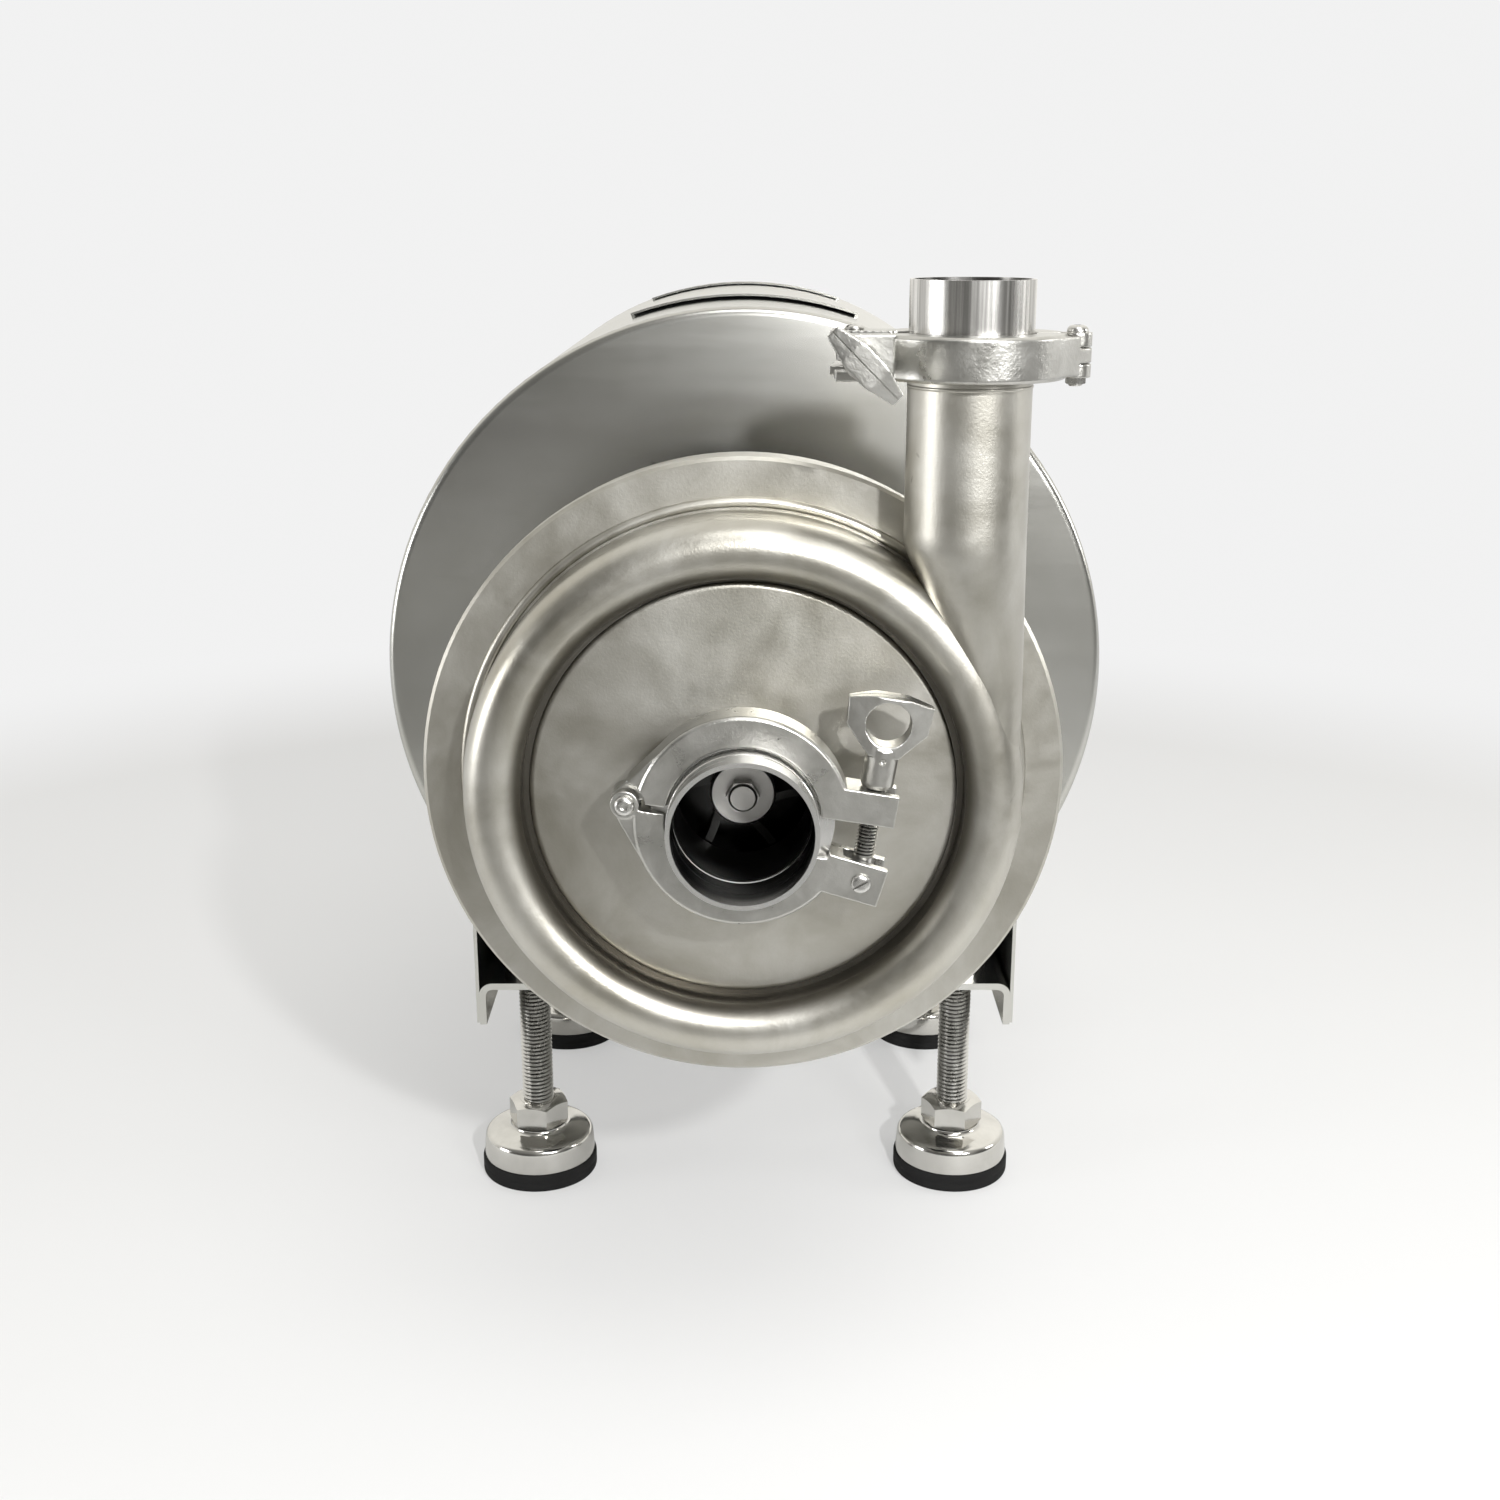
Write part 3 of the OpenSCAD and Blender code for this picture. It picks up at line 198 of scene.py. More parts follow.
def makeRoom():
    look = roomLook
    world = bpy.data.worlds.new("studioRoom")
    bpy.context.scene.world = world
    world.use_nodes = True
    nodes, links = world.node_tree.nodes, world.node_tree.links
    nodes.clear()
    out = nodes.new("ShaderNodeOutputWorld")
    way = splitSpot(nodes, links, nodes.new("ShaderNodeTexCoord").outputs["Generated"])
    back = rampNode(nodes, links, way["Y"], look["backSpan"], look["front"], look["behind"])
    high = rampNode(nodes, links, way["Z"], look["highSpan"], 0.0, look["above"])
    right = rampNode(nodes, links, way["X"], look["rightSpan"], 0.0, look["right"])
    edge = rampNode(nodes, links, way["X"], look["farRightSpan"], 1.0, 0.0)
    total = mathNode(nodes, links, "ADD", mathNode(nodes, links, "ADD", back, high),
                     mathNode(nodes, links, "MULTIPLY", right, edge))
    dimmed = mathNode(nodes, links, "MULTIPLY", total, look["light"])
    layers = []
    for color, strength in ((look["color"], dimmed), (look["color"], total), (white, None)):
        layer = nodes.new("ShaderNodeBackground")
        layer.inputs["Color"].default_value = (*color, 1)
        if strength is not None:
            links.new(strength, layer.inputs["Strength"])
        layers.append(layer.outputs["Background"])
    camera, mirrored = seenRays(nodes, links)
    lit = mixShader(nodes, links, mirrored, layers[0], layers[1])
    links.new(mixShader(nodes, links, camera, lit, layers[2]), out.inputs["Surface"])


cameraLook = {"place": (0.0031, -1.0360, 0.5665), "pitch": 16.34, "lens": 43.464, "sensor": 36.0,
              "near": 0.01}


def makeCamera():
    data = bpy.data.cameras.new("photoCamera")
    data.lens = cameraLook["lens"]
    data.sensor_width = cameraLook["sensor"]
    data.clip_start = cameraLook["near"]
    data.dof.use_dof = False
    cam = bpy.data.objects.new("photoCamera", data)
    bpy.context.scene.collection.objects.link(cam)
    cam.location = cameraLook["place"]
    cam.rotation_euler = (math.radians(90 - cameraLook["pitch"]), 0, 0)
    bpy.context.scene.camera = cam


lampLook = {
    "keyLamp": {"place": (0.42, -1.45, 0.98), "aim": (0, -0.2, 0.36), "size": 0.06, "power": 21},
    "frontBox": {"place": (0.80, -1.35, 0.80), "aim": (0, -0.2, 0.4), "size": 0.3, "power": 6},
    "topBox": {"place": (0.3, -1.05, 2.1), "aim": (0, -0.1, 0.3), "size": 1.0, "power": 13},
    "leftBox": {"place": (-2.6, -0.9, 0.55), "aim": (0, -0.1, 0.45), "size": 0.9, "power": 23},
    "rightBox": {"place": (1.9, -0.1, 0.9), "aim": (0, -0.1, 0.4), "size": 0.5, "power": 7},
}


def makeLamps():
    for name, look in lampLook.items():
        data = bpy.data.lights.new(name, "AREA")
        data.size = look["size"]
        data.energy = look["power"]
        lamp = bpy.data.objects.new(name, data)
        bpy.context.scene.collection.objects.link(lamp)
        lamp.location = look["place"]
        way = Vector(look["aim"]) - Vector(look["place"])
        lamp.rotation_euler = way.to_track_quat("-Z", "Y").to_euler()


makeFloor()
makeRoom()
makeCamera()
makeLamps()
bpy.context.scene.view_settings.view_transform = "Standard"
print("stage, camera and lamps ready")


# surface effects that several finishes share
def newGroup(name, ins, outs):
    group = bpy.data.node_groups.new(name, "ShaderNodeTree")
    for label, kind in ins:
        group.interface.new_socket(name=label, in_out="INPUT", socket_type=kind)
    for label in outs:
        group.interface.new_socket(name=label, in_out="OUTPUT", socket_type="NodeSocketFloat")
    start = group.nodes.new("NodeGroupInput").outputs
    end = group.nodes.new("NodeGroupOutput").inputs
    spot = group.nodes.new("ShaderNodeTexCoord").outputs["Object"]
    return group, start, end, spot


def placeGroup(nodes, group, values):
    node = nodes.new("ShaderNodeGroup")
    node.node_tree = group
    for label, value in values.items():
        node.inputs[label].default_value = value
    return node.outputs


def noiseNode(nodes, links, spot, detail, rough):
    node = nodes.new("ShaderNodeTexNoise")
    node.inputs["Detail"].default_value = detail
    node.inputs["Roughness"].default_value = rough
    links.new(spot, node.inputs["Vector"])
    return node


grainLook = {"fineDetail": 2.0, "fineRough": 0.6, "patchDetail": 8.0, "patchRough": 0.66, "warp": 0.4,
             "patchSpan": (0.32, 0.68)}


def makeGrainGroup():
    # fine blast or cast grain, with slow patches over it
    look = grainLook
    ins = [("Fine Scale", "NodeSocketFloat"), ("Patch Scale", "NodeSocketFloat")]
    group, start, end, spot = newGroup("steelGrain", ins, ["Fine", "Patch"])
    nodes, links = group.nodes, group.links
    fine = noiseNode(nodes, links, spot, look["fineDetail"], look["fineRough"])
    patch = noiseNode(nodes, links, spot, look["patchDetail"], look["patchRough"])
    patch.inputs["Distortion"].default_value = look["warp"]
    links.new(start["Fine Scale"], fine.inputs["Scale"])
    links.new(start["Patch Scale"], patch.inputs["Scale"])
    links.new(fine.outputs["Fac"], end["Fine"])
    spread = rampNode(nodes, links, patch.outputs["Fac"], look["patchSpan"], 0.0, 1.0, "LINEAR")
    links.new(spread, end["Patch"])
    return group


streakLook = {"detail": 4.0, "rough": 0.65}


def makeStreakGroup():
    # long fine lines left by a brush, a polishing belt or a lathe
    group, start, end, spot = newGroup("brushStreaks", [("Stretch", "NodeSocketVector")], ["Lines"])
    nodes, links = group.nodes, group.links
    drawn = vectorNode(nodes, links, "MULTIPLY", spot, start["Stretch"])["Vector"]
    noise = noiseNode(nodes, links, drawn, streakLook["detail"], streakLook["rough"])
    noise.inputs["Scale"].default_value = 1.0
    links.new(noise.outputs["Fac"], end["Lines"])
    return group


scuffLook = {"warpScale": 60.0, "warpDetail": 2.0, "warpRough": 0.5, "warpShift": 0.02,
             "pitSpan": (0.0, 0.07), "rareSpan": (0.80, 0.95)}


def makeScuffGroup():
    # sparse small pits
    look = scuffLook
    group, start, end, spot = newGroup("scuffMarks", [("Scale", "NodeSocketFloat")], ["Mask"])
    nodes, links = group.nodes, group.links
    warp = noiseNode(nodes, links, spot, look["warpDetail"], look["warpRough"])
    warp.inputs["Scale"].default_value = look["warpScale"]
    shift = nodes.new("ShaderNodeVectorMath")
    shift.operation = "MULTIPLY_ADD"
    shift.inputs[1].default_value = (look["warpShift"],) * 3
    links.new(warp.outputs["Color"], shift.inputs[0])
    links.new(spot, shift.inputs[2])
    cells = nodes.new("ShaderNodeTexVoronoi")
    links.new(shift.outputs["Vector"], cells.inputs["Vector"])
    links.new(start["Scale"], cells.inputs["Scale"])
    pit = rampNode(nodes, links, cells.outputs["Distance"], look["pitSpan"], 1.0, 0.0, "LINEAR")
    shade = nodes.new("ShaderNodeSeparateColor")
    links.new(cells.outputs["Color"], shade.inputs["Color"])
    rare = rampNode(nodes, links, shade.outputs["Red"], look["rareSpan"], 0.0, 1.0, "LINEAR")
    links.new(mathNode(nodes, links, "MULTIPLY", pit, rare), end["Mask"])
    return group


def boltLine(clamp, reach):
    # a point on the swing bolt's middle line, and the way that the line runs
    return tuple(clamp @ Vector((reach, 0, 0))), tuple(clamp.to_3x3().col[1])


def lineDistance(nodes, links, spot, point, way):
    away = vectorNode(nodes, links, "SUBTRACT", spot, point)["Vector"]
    side = vectorNode(nodes, links, "CROSS_PRODUCT", away, way)["Vector"]
    return vectorNode(nodes, links, "LENGTH", side)["Value"]


# all in metres; the first two lie round the shaft line and along Y
shaftLine = ((0.0, 0.0, place["shaftHeight"]), (0.0, 1.0, 0.0))
grooveLook = {"riseSpan": (0.0932, 0.0945), "fallSpan": (0.0968, 0.1035), "frontSpan": (-0.2764, -0.2758)}
boreLook = {"tubeSpan": (0.0304, 0.0312), "mouthSpan": (-0.3386, -0.3300), "chamberSpan": (0.1180, 0.1188),
            "coverSpan": (-0.2750, -0.2744)}
# painted shade: lines that finishes darken towards, in the thread roots of the rods, folded onto one, and of
# the swing bolts, and inside the discharge bore
upright = (0.0, 0.0, 1.0)
footMiddle = (place["footFront"] + place["footRear"]) / 2
depthLooks = {
    "rodDepth": {"fold": (0.0, footMiddle, 0.0), "span": (0.0078, 0.0089),
                 "lines": [((place["footSide"], place["footRear"] - footMiddle, 0.0), upright)]},
    "boltDepth": {"span": (0.0035, 0.0044), "lines": [boltLine(inletFrame, place["inletBolt"]),
                                                      boltLine(outletFrame, place["outletBolt"])]},
    "stubDepth": {"span": (0.0238, 0.0246), "lines": [(tuple(outletFrame.translation), upright)]},
}


def makeGrooveGroup():
    # painted shade: the groove between the bead and the cover plate is coloured dark
    look = grooveLook
    group, _, end, spot = newGroup("grooveShade", [], ["Mask"])
    nodes, links = group.nodes, group.links
    far = lineDistance(nodes, links, spot, *shaftLine)
    rise = rampNode(nodes, links, far, look["riseSpan"], 0.0, 1.0)
    fall = rampNode(nodes, links, far, look["fallSpan"], 1.0, 0.0)
    front = rampNode(nodes, links, splitSpot(nodes, links, spot)["Y"], look["frontSpan"], 1.0, 0.0)
    ring = mathNode(nodes, links, "MULTIPLY", rise, fall)
    links.new(mathNode(nodes, links, "MULTIPLY", ring, front), end["Mask"])
    return group


def makeBoreGroup():
    # painted shade: the inside of the pump, seen through the inlet, is coloured almost black
    look = boreLook
    group, _, end, spot = newGroup("boreShade", [], ["Mask"])
    nodes, links = group.nodes, group.links
    far = lineDistance(nodes, links, spot, *shaftLine)
    along = splitSpot(nodes, links, spot)["Y"]
    tube = mathNode(nodes, links, "MULTIPLY", rampNode(nodes, links, far, look["tubeSpan"], 1.0, 0.0),
                    rampNode(nodes, links, along, look["mouthSpan"], 0.0, 1.0))
    chamber = mathNode(nodes, links, "MULTIPLY", rampNode(nodes, links, far, look["chamberSpan"], 1.0, 0.0),
                       rampNode(nodes, links, along, look["coverSpan"], 0.0, 1.0))
    links.new(mathNode(nodes, links, "MAXIMUM", tube, chamber), end["Mask"])
    return group


def makeDepthGroup(name, look):
    # painted shade that deepens towards the nearest of the look's lines
    group, _, end, spot = newGroup(name, [], ["Mask"])
    nodes, links = group.nodes, group.links
    if "fold" in look:
        spot = vectorNode(nodes, links, "SUBTRACT", spot, look["fold"])["Vector"]
        spot = vectorNode(nodes, links, "ABSOLUTE", spot)["Vector"]
    far = None
    for point, way in look["lines"]:
        gap = lineDistance(nodes, links, spot, point, way)
        far = gap if far is None else mathNode(nodes, links, "MINIMUM", far, gap)
    links.new(rampNode(nodes, links, far, look["span"], 1.0, 0.0), end["Mask"])
    return group


grainGroup = makeGrainGroup()
streakGroup = makeStreakGroup()
scuffGroup = makeScuffGroup()
shadeGroups = {"groove": makeGrooveGroup(), "bore": makeBoreGroup()}
for name, look in depthLooks.items():
    shadeGroups[name] = makeDepthGroup(name, look)

# colour of the painted shade inside the pump
boreShadeBlack = (0.022, 0.022, 0.021)
finishLook = {"steelIndex": 2.2, "bumpDepth": 0.0002, "shine": 0.5, "bandSpan": (0.36, 0.64)}


def startFinish(name, look):
    # patches between a dark and a light tone
    mat, nodes, links, shader = newMaterial(name)
    grain = placeGroup(nodes, grainGroup, {"Fine Scale": look["fine"], "Patch Scale": look["patch"]})
    tint = mixNode(nodes, links, grain["Patch"], look["dark"], look["light"])
    return mat, shader, tint, grain["Patch"], grain["Fine"]


def endFinish(mat, shader, look, tint, change, height):
    nodes, links = mat.node_tree.nodes, mat.node_tree.links
    links.new(tint, shader.inputs["Base Color"])
    rough = rampNode(nodes, links, change, (0.0, 1.0), *look["rough"], "LINEAR")
    links.new(rough, shader.inputs["Roughness"])
    bump = nodes.new("ShaderNodeBump")
    bump.inputs["Strength"].default_value = look["bump"]
    bump.inputs["Distance"].default_value = finishLook["bumpDepth"]
    links.new(height, bump.inputs["Height"])
    links.new(bump.outputs["Normal"], shader.inputs["Normal"])
    return mat


def makeSteel(name, look):
    mat, shader, tint, change, height = startFinish(name, look)
    nodes, links = mat.node_tree.nodes, mat.node_tree.links
    shader.inputs["Metallic"].default_value = 1.0
    shader.inputs["IOR"].default_value = finishLook["steelIndex"]
    if "streak" in look:
        lines = placeGroup(nodes, streakGroup, {"Stretch": look["streak"]})["Lines"]
        blend = nodes.new("ShaderNodeMix")
        blend.data_type = "FLOAT"
        blend.inputs["Factor"].default_value = look["streakShare"]
        links.new(height, blend.inputs["A"])
        links.new(lines, blend.inputs["B"])
        change, height = lines, blend.outputs["Result"]
    if "scuff" in look:
        mask = placeGroup(nodes, scuffGroup, {"Scale": look["scuff"]})["Mask"]
        tint = mixNode(nodes, links, mask, tint, look["scuffColor"])
    if "reflectionBands" in look:
        # painted reflection: light and dark strips along the drawn tube
        strip = rampNode(nodes, links, lines, finishLook["bandSpan"], 0.0, 1.0)
        tint = mixNode(nodes, links, strip, look["reflectionBands"], tint)
    for shade, color in look.get("shades", {}).items():
        mask = placeGroup(nodes, shadeGroups[shade], {})["Mask"]
        tint = mixNode(nodes, links, mask, tint, color)
    return endFinish(mat, shader, look, tint, change, height)


def makeDull(name, look):
    # rubber, plastic, paint and ceramic
    mat, shader, tint, change, height = startFinish(name, look)
    shader.inputs["Specular IOR Level"].default_value = look.get("shine", finishLook["shine"])
    return endFinish(mat, shader, look, tint, change, height)


steelLooks = {
    "satin_steel": {"dark": (0.400, 0.382, 0.330), "light": (0.545, 0.535, 0.497), "rough": (0.31, 0.45),
                    "fine": 850.0, "patch": 18.0, "bump": 0.32, "scuff": 62.0,
                    "scuffColor": (0.26, 0.24, 0.21),
                    # painted shade in the groove by the cover plate, and inside the pump
                    "shades": {"groove": (0.150, 0.140, 0.120), "bore": boreShadeBlack}},
    "sheet_steel": {"dark": (0.455, 0.452, 0.420), "light": (0.530, 0.528, 0.505), "rough": (0.20, 0.30),
                    "fine": 1300.0, "patch": 7.0, "bump": 0.08, "streak": (6.0, 420.0, 60.0),
                    "streakShare": 0.55, "scuff": 48.0, "scuffColor": (0.25, 0.245, 0.23)},
    "polished_steel": {"dark": (0.60, 0.595, 0.58), "light": (0.68, 0.675, 0.66), "rough": (0.09, 0.20),
                       "fine": 1400.0, "patch": 20.0, "bump": 0.03, "streak": (500.0, 500.0, 20.0),
                       "streakShare": 0.8},
    "cast_steel": {"dark": (0.42, 0.415, 0.39), "light": (0.54, 0.535, 0.51), "rough": (0.26, 0.38),
                   "fine": 650.0, "patch": 60.0, "bump": 0.6},
    "bright_screws": {"dark": (0.52, 0.515, 0.495), "light": (0.64, 0.635, 0.615), "rough": (0.22, 0.34),
                      "fine": 1600.0, "patch": 70.0, "bump": 0.08},
    "foot_chrome": {"dark": (0.56, 0.55, 0.52), "light": (0.66, 0.65, 0.62), "rough": (0.08, 0.18),
                    "fine": 1500.0, "patch": 40.0, "bump": 0.04, "streak": (60.0, 60.0, 900.0),
                    "streakShare": 0.7},
    "core_iron": {"dark": (0.10, 0.10, 0.10), "light": (0.16, 0.16, 0.16), "rough": (0.5, 0.65),
                  "fine": 900.0, "patch": 30.0, "bump": 0.15},
    "winding_copper": {"dark": (0.42, 0.17, 0.07), "light": (0.60, 0.28, 0.12), "rough": (0.35, 0.5),
                       "fine": 700.0, "patch": 50.0, "bump": 0.3},
    "boredPolish": {"dark": (0.62, 0.615, 0.60), "light": (0.72, 0.715, 0.70), "rough": (0.20, 0.32),
                    "fine": 1400.0, "patch": 20.0, "bump": 0.02, "streak": (8.0, 700.0, 8.0),
                    # painted shade inside the inlet stub's bore
                    "streakShare": 0.6, "shades": {"bore": boreShadeBlack}},
    "drawnPolish": {"dark": (0.70, 0.69, 0.67), "light": (0.80, 0.79, 0.77), "rough": (0.16, 0.34),
                    "fine": 1400.0, "patch": 20.0, "bump": 0.05, "streak": (330.0, 330.0, 4.0),
                    # painted reflection in the dark strips, and painted shade inside the discharge bore
                    "streakShare": 0.85, "reflectionBands": (0.42, 0.415, 0.40),
                    "shades": {"stubDepth": (0.26, 0.255, 0.245)}},
    # painted shade: the impeller is coloured almost black for the shade inside the pump
    "impellerPaintedShade": {"dark": (0.035, 0.035, 0.034), "light": (0.06, 0.06, 0.058), "rough": (0.16, 0.26),
                    "fine": 1400.0, "patch": 25.0, "bump": 0.05},
    "hubPolish": {"dark": (0.66, 0.65, 0.63), "light": (0.76, 0.75, 0.73), "rough": (0.36, 0.46),
                  "fine": 1400.0, "patch": 40.0, "bump": 0.06},
    "threadSteel": {"dark": (0.50, 0.495, 0.475), "light": (0.64, 0.635, 0.615), "rough": (0.22, 0.34),
                    # painted shade in the thread roots
                    "fine": 1500.0, "patch": 60.0, "bump": 0.1, "shades": {"rodDepth": (0.12, 0.116, 0.108)}},
    "boltSteel": {"dark": (0.50, 0.495, 0.475), "light": (0.64, 0.635, 0.615), "rough": (0.22, 0.34),
                  # painted shade in the thread roots
                  "fine": 1500.0, "patch": 60.0, "bump": 0.1, "shades": {"boltDepth": (0.09, 0.086, 0.08)}},
}
dullLooks = {
    "seal_rubber": {"dark": (0.009, 0.009, 0.009), "light": (0.016, 0.016, 0.016), "rough": (0.7, 0.85),
                    "fine": 1200.0, "patch": 30.0, "bump": 0.2, "shine": 0.12},
    "seal_carbon": {"dark": (0.03, 0.03, 0.03), "light": (0.05, 0.05, 0.05), "rough": (0.4, 0.5),
                    "fine": 1200.0, "patch": 30.0, "bump": 0.1},
    "seal_ceramic": {"dark": (0.72, 0.70, 0.64), "light": (0.78, 0.76, 0.70), "rough": (0.2, 0.3),
                     "fine": 1200.0, "patch": 30.0, "bump": 0.03},
    "joint_ptfe": {"dark": (0.74, 0.74, 0.72), "light": (0.80, 0.80, 0.78), "rough": (0.45, 0.55),
                   "fine": 1200.0, "patch": 30.0, "bump": 0.05},
    "motor_paint": {"dark": (0.10, 0.125, 0.15), "light": (0.125, 0.15, 0.175), "rough": (0.38, 0.5),
                    "fine": 800.0, "patch": 18.0, "bump": 0.2},
    "fan_plastic": {"dark": (0.02, 0.02, 0.02), "light": (0.03, 0.03, 0.03), "rough": (0.4, 0.5),
                    "fine": 900.0, "patch": 20.0, "bump": 0.1},
}

finish = {}
for name, look in steelLooks.items():
    finish[name] = makeSteel(name + "Finish", look)
for name, look in dullLooks.items():
    finish[name] = makeDull(name + "Finish", look)

# CAD pieces whose finish differs from the rest of their slot; the impeller's is painted shade
ownFinish = {"inlet_stub": "boredPolish", "outlet_stub": "drawnPolish", "impeller": "impellerPaintedShade",
             "hub_cap": "hubPolish", "impeller_bolt": "hubPolish"}
slotOf = {entry["node"]: entry["material_slot"] for entry in frame["record"]["subparts"]}
for nodeName, obj in frame["nodes"].items():
    obj.data.materials.clear()
    obj.data.materials.append(finish[ownFinish.get(nodeName, slotOf[nodeName])])
print("finishes given to", len(slotOf), "nodes")


def deselectAll():
    bpy.ops.object.select_all(action="DESELECT")


def takeUp(obj):
    deselectAll()
    obj.select_set(True)
    bpy.context.view_layer.objects.active = obj


def openEdit(obj):
    takeUp(obj)
    bpy.ops.object.mode_set(mode="EDIT")
    bpy.ops.mesh.select_mode(type="VERT")


def closeEdit():
    bpy.ops.object.mode_set(mode="OBJECT")


def pick(obj, kind, test):
    # selects the corners or faces whose middle and normal pass the test
    bpy.ops.mesh.select_mode(type=kind)
    bpy.ops.mesh.select_all(action="DESELECT")
    mesh = bmesh.from_edit_mesh(obj.data)
    if kind == "VERT":
        found = [v for v in mesh.verts if test(v.co, v.normal)]
    else:
        found = [f for f in mesh.faces if test(f.calc_center_median(), f.normal)]
    for item in found:
        item.select_set(True)
    mesh.select_flush_mode()
    bmesh.update_edit_mesh(obj.data)


def applyModifier(obj, mod):
    takeUp(obj)
    bpy.ops.object.modifier_apply(modifier=mod.name)


def applyPlace():
    bpy.ops.object.transform_apply(location=True, rotation=True, scale=True)


mergeGap = 0.000002


def mendShell(obj, gap=mergeGap):
    openEdit(obj)
    bpy.ops.mesh.select_all(action="SELECT")
    bpy.ops.mesh.remove_doubles(threshold=gap)
    bpy.ops.mesh.normals_make_consistent(inside=False)
    closeEdit()


def setPlace(obj, matrix):
    # turns and moves a piece, and leaves the place in its mesh
    takeUp(obj)
    obj.matrix_world = matrix @ obj.matrix_world
    applyPlace()


def useTool(obj, tool, operation):
    mod = obj.modifiers.new("tool", "BOOLEAN")
    mod.operation = operation
    mod.solver = "EXACT"
    mod.object = tool
    applyModifier(obj, mod)
    bpy.data.objects.remove(tool, do_unlink=True)


def makeBox(low, high):
    deselectAll()
    middle = [(a + b) / 2000 for a, b in zip(low, high)]
    size = [(b - a) / 1000 for a, b in zip(low, high)]
    bpy.ops.mesh.primitive_cube_add(size=1, location=middle, scale=size)
    applyPlace()
    return bpy.context.object


def turnShape(name, profile, steps, loop=False):
    # a ring is drawn out along Z and resized at each step, as on a lathe; profile in millimetres
    deselectAll()
    bpy.ops.mesh.primitive_circle_add(vertices=steps, radius=profile[0][0] / 1000, location=(0, 0, 0))
    obj = bpy.context.object
    obj.name = name
    openEdit(obj)
    bpy.ops.mesh.select_all(action="SELECT")
    if not loop:
        bpy.ops.mesh.edge_face_add()
        bpy.ops.mesh.select_mode(type="EDGE")
    bpy.ops.transform.translate(value=(0, 0, profile[0][1] / 1000))
    for (r0, z0), (r1, z1) in zip(profile, profile[1:]):
        bpy.ops.mesh.extrude_edges_move(TRANSFORM_OT_translate={"value": (0, 0, (z1 - z0) / 1000)})
        bpy.ops.transform.resize(value=(r1 / r0, r1 / r0, 1), center_override=(0, 0, 0))
    if not loop:
        bpy.ops.mesh.edge_face_add()
    closeEdit()
    mendShell(obj)
    return obj


hexLook = {"endShare": 0.94, "spare": 0.2, "slope": 28.0, "overlap": 0.001, "steps": 48}


def hexShape(name, flats, low, high, steps=hexLook["steps"]):
    # hexagon whose corners are turned off at both ends
    corner = flats / math.sqrt(3)
    deselectAll()
    bpy.ops.mesh.primitive_cylinder_add(vertices=6, radius=corner / 1000, depth=(high - low) / 1000,
                                        location=(0, 0, (high + low) / 2000))
    obj = bpy.context.object
    obj.name = name
    applyPlace()
    start, wide = flats / 2 * hexLook["endShare"], corner + hexLook["spare"]
    slope = (wide - start) * math.tan(math.radians(hexLook["slope"]))
    profile = [(start, low - hexLook["overlap"]), (wide, low + slope), (wide, high - slope),
               (start, high + hexLook["overlap"])]
    useTool(obj, turnShape("turnOff", profile, steps), "INTERSECT")
    return obj


def threadShape(name, root, crest, pitch, low, high, steps):
    # one tooth of the thread is swept up the rod, then both ends are cut square
    deselectAll()
    bpy.ops.mesh.primitive_circle_add(vertices=4, radius=pitch / 2000, location=(0, 0, 0),
                                      rotation=(math.pi / 2, 0, 0))
    obj = bpy.context.object
    obj.name = name
    applyPlace()
    openEdit(obj)
    pick(obj, "VERT", lambda co, no: co.x < -pitch / 4000)
    bpy.ops.mesh.delete(type="VERT")
    bpy.ops.mesh.select_all(action="SELECT")
    bpy.ops.transform.resize(value=((crest - root) / (pitch / 2), 1, 1), center_override=(0, 0, 0))
    bpy.ops.transform.translate(value=(root / 1000, 0, (low - pitch) / 1000))
    closeEdit()
    mod = obj.modifiers.new("sweep", "SCREW")
    mod.axis = "Z"
    mod.angle = 2 * math.pi
    mod.screw_offset = pitch / 1000
    mod.iterations = int((high - low) / pitch) + 3
    mod.steps = steps
    mod.render_steps = steps
    applyModifier(obj, mod)
    mendShell(obj)
    openEdit(obj)
    for level, way in ((low, -1), (high, 1)):
        bpy.ops.mesh.select_all(action="SELECT")
        bpy.ops.mesh.bisect(plane_co=(0, 0, level / 1000), plane_no=(0, 0, way),
                            use_fill=True, clear_outer=True)
    closeEdit()
    mendShell(obj)
    return obj


def drawTube(name, rings, steps):
    # a level ring is drawn out from section to section; each section is its middle and its radius in metres
    deselectAll()
    bpy.ops.mesh.primitive_circle_add(vertices=steps, radius=rings[0][1], location=rings[0][0])
    obj = bpy.context.object
    obj.name = name
    applyPlace()
    openEdit(obj)
    bpy.ops.mesh.select_all(action="SELECT")
    for (middle, radius), (nextMiddle, nextRadius) in zip(rings, rings[1:]):
        step = Vector(nextMiddle) - Vector(middle)
        bpy.ops.mesh.extrude_edges_move(TRANSFORM_OT_translate={"value": step})
        wider = nextRadius / radius
        bpy.ops.transform.resize(value=(wider, wider, 1), center_override=nextMiddle)
    closeEdit()
    mendShell(obj)
    return obj


def joinPieces(name, parts):
    deselectAll()
    for part in parts:
        part.select_set(True)
    bpy.context.view_layer.objects.active = parts[0]
    bpy.ops.object.join()
    obj = bpy.context.object
    obj.name = name
    return obj


def copyPiece(obj, name):
    takeUp(obj)
    bpy.ops.object.duplicate(linked=False)
    twin = bpy.context.object
    twin.name = name
    return twin


def copyNode(nodeName, name):
    # own copy of a CAD piece, its loose triangles joined up
    source = frame["nodes"][nodeName]
    twin = bpy.data.objects.new(name, source.data.copy())
    bpy.context.scene.collection.objects.link(twin)
    mendShell(twin, 2 * mergeGap)
    return twin


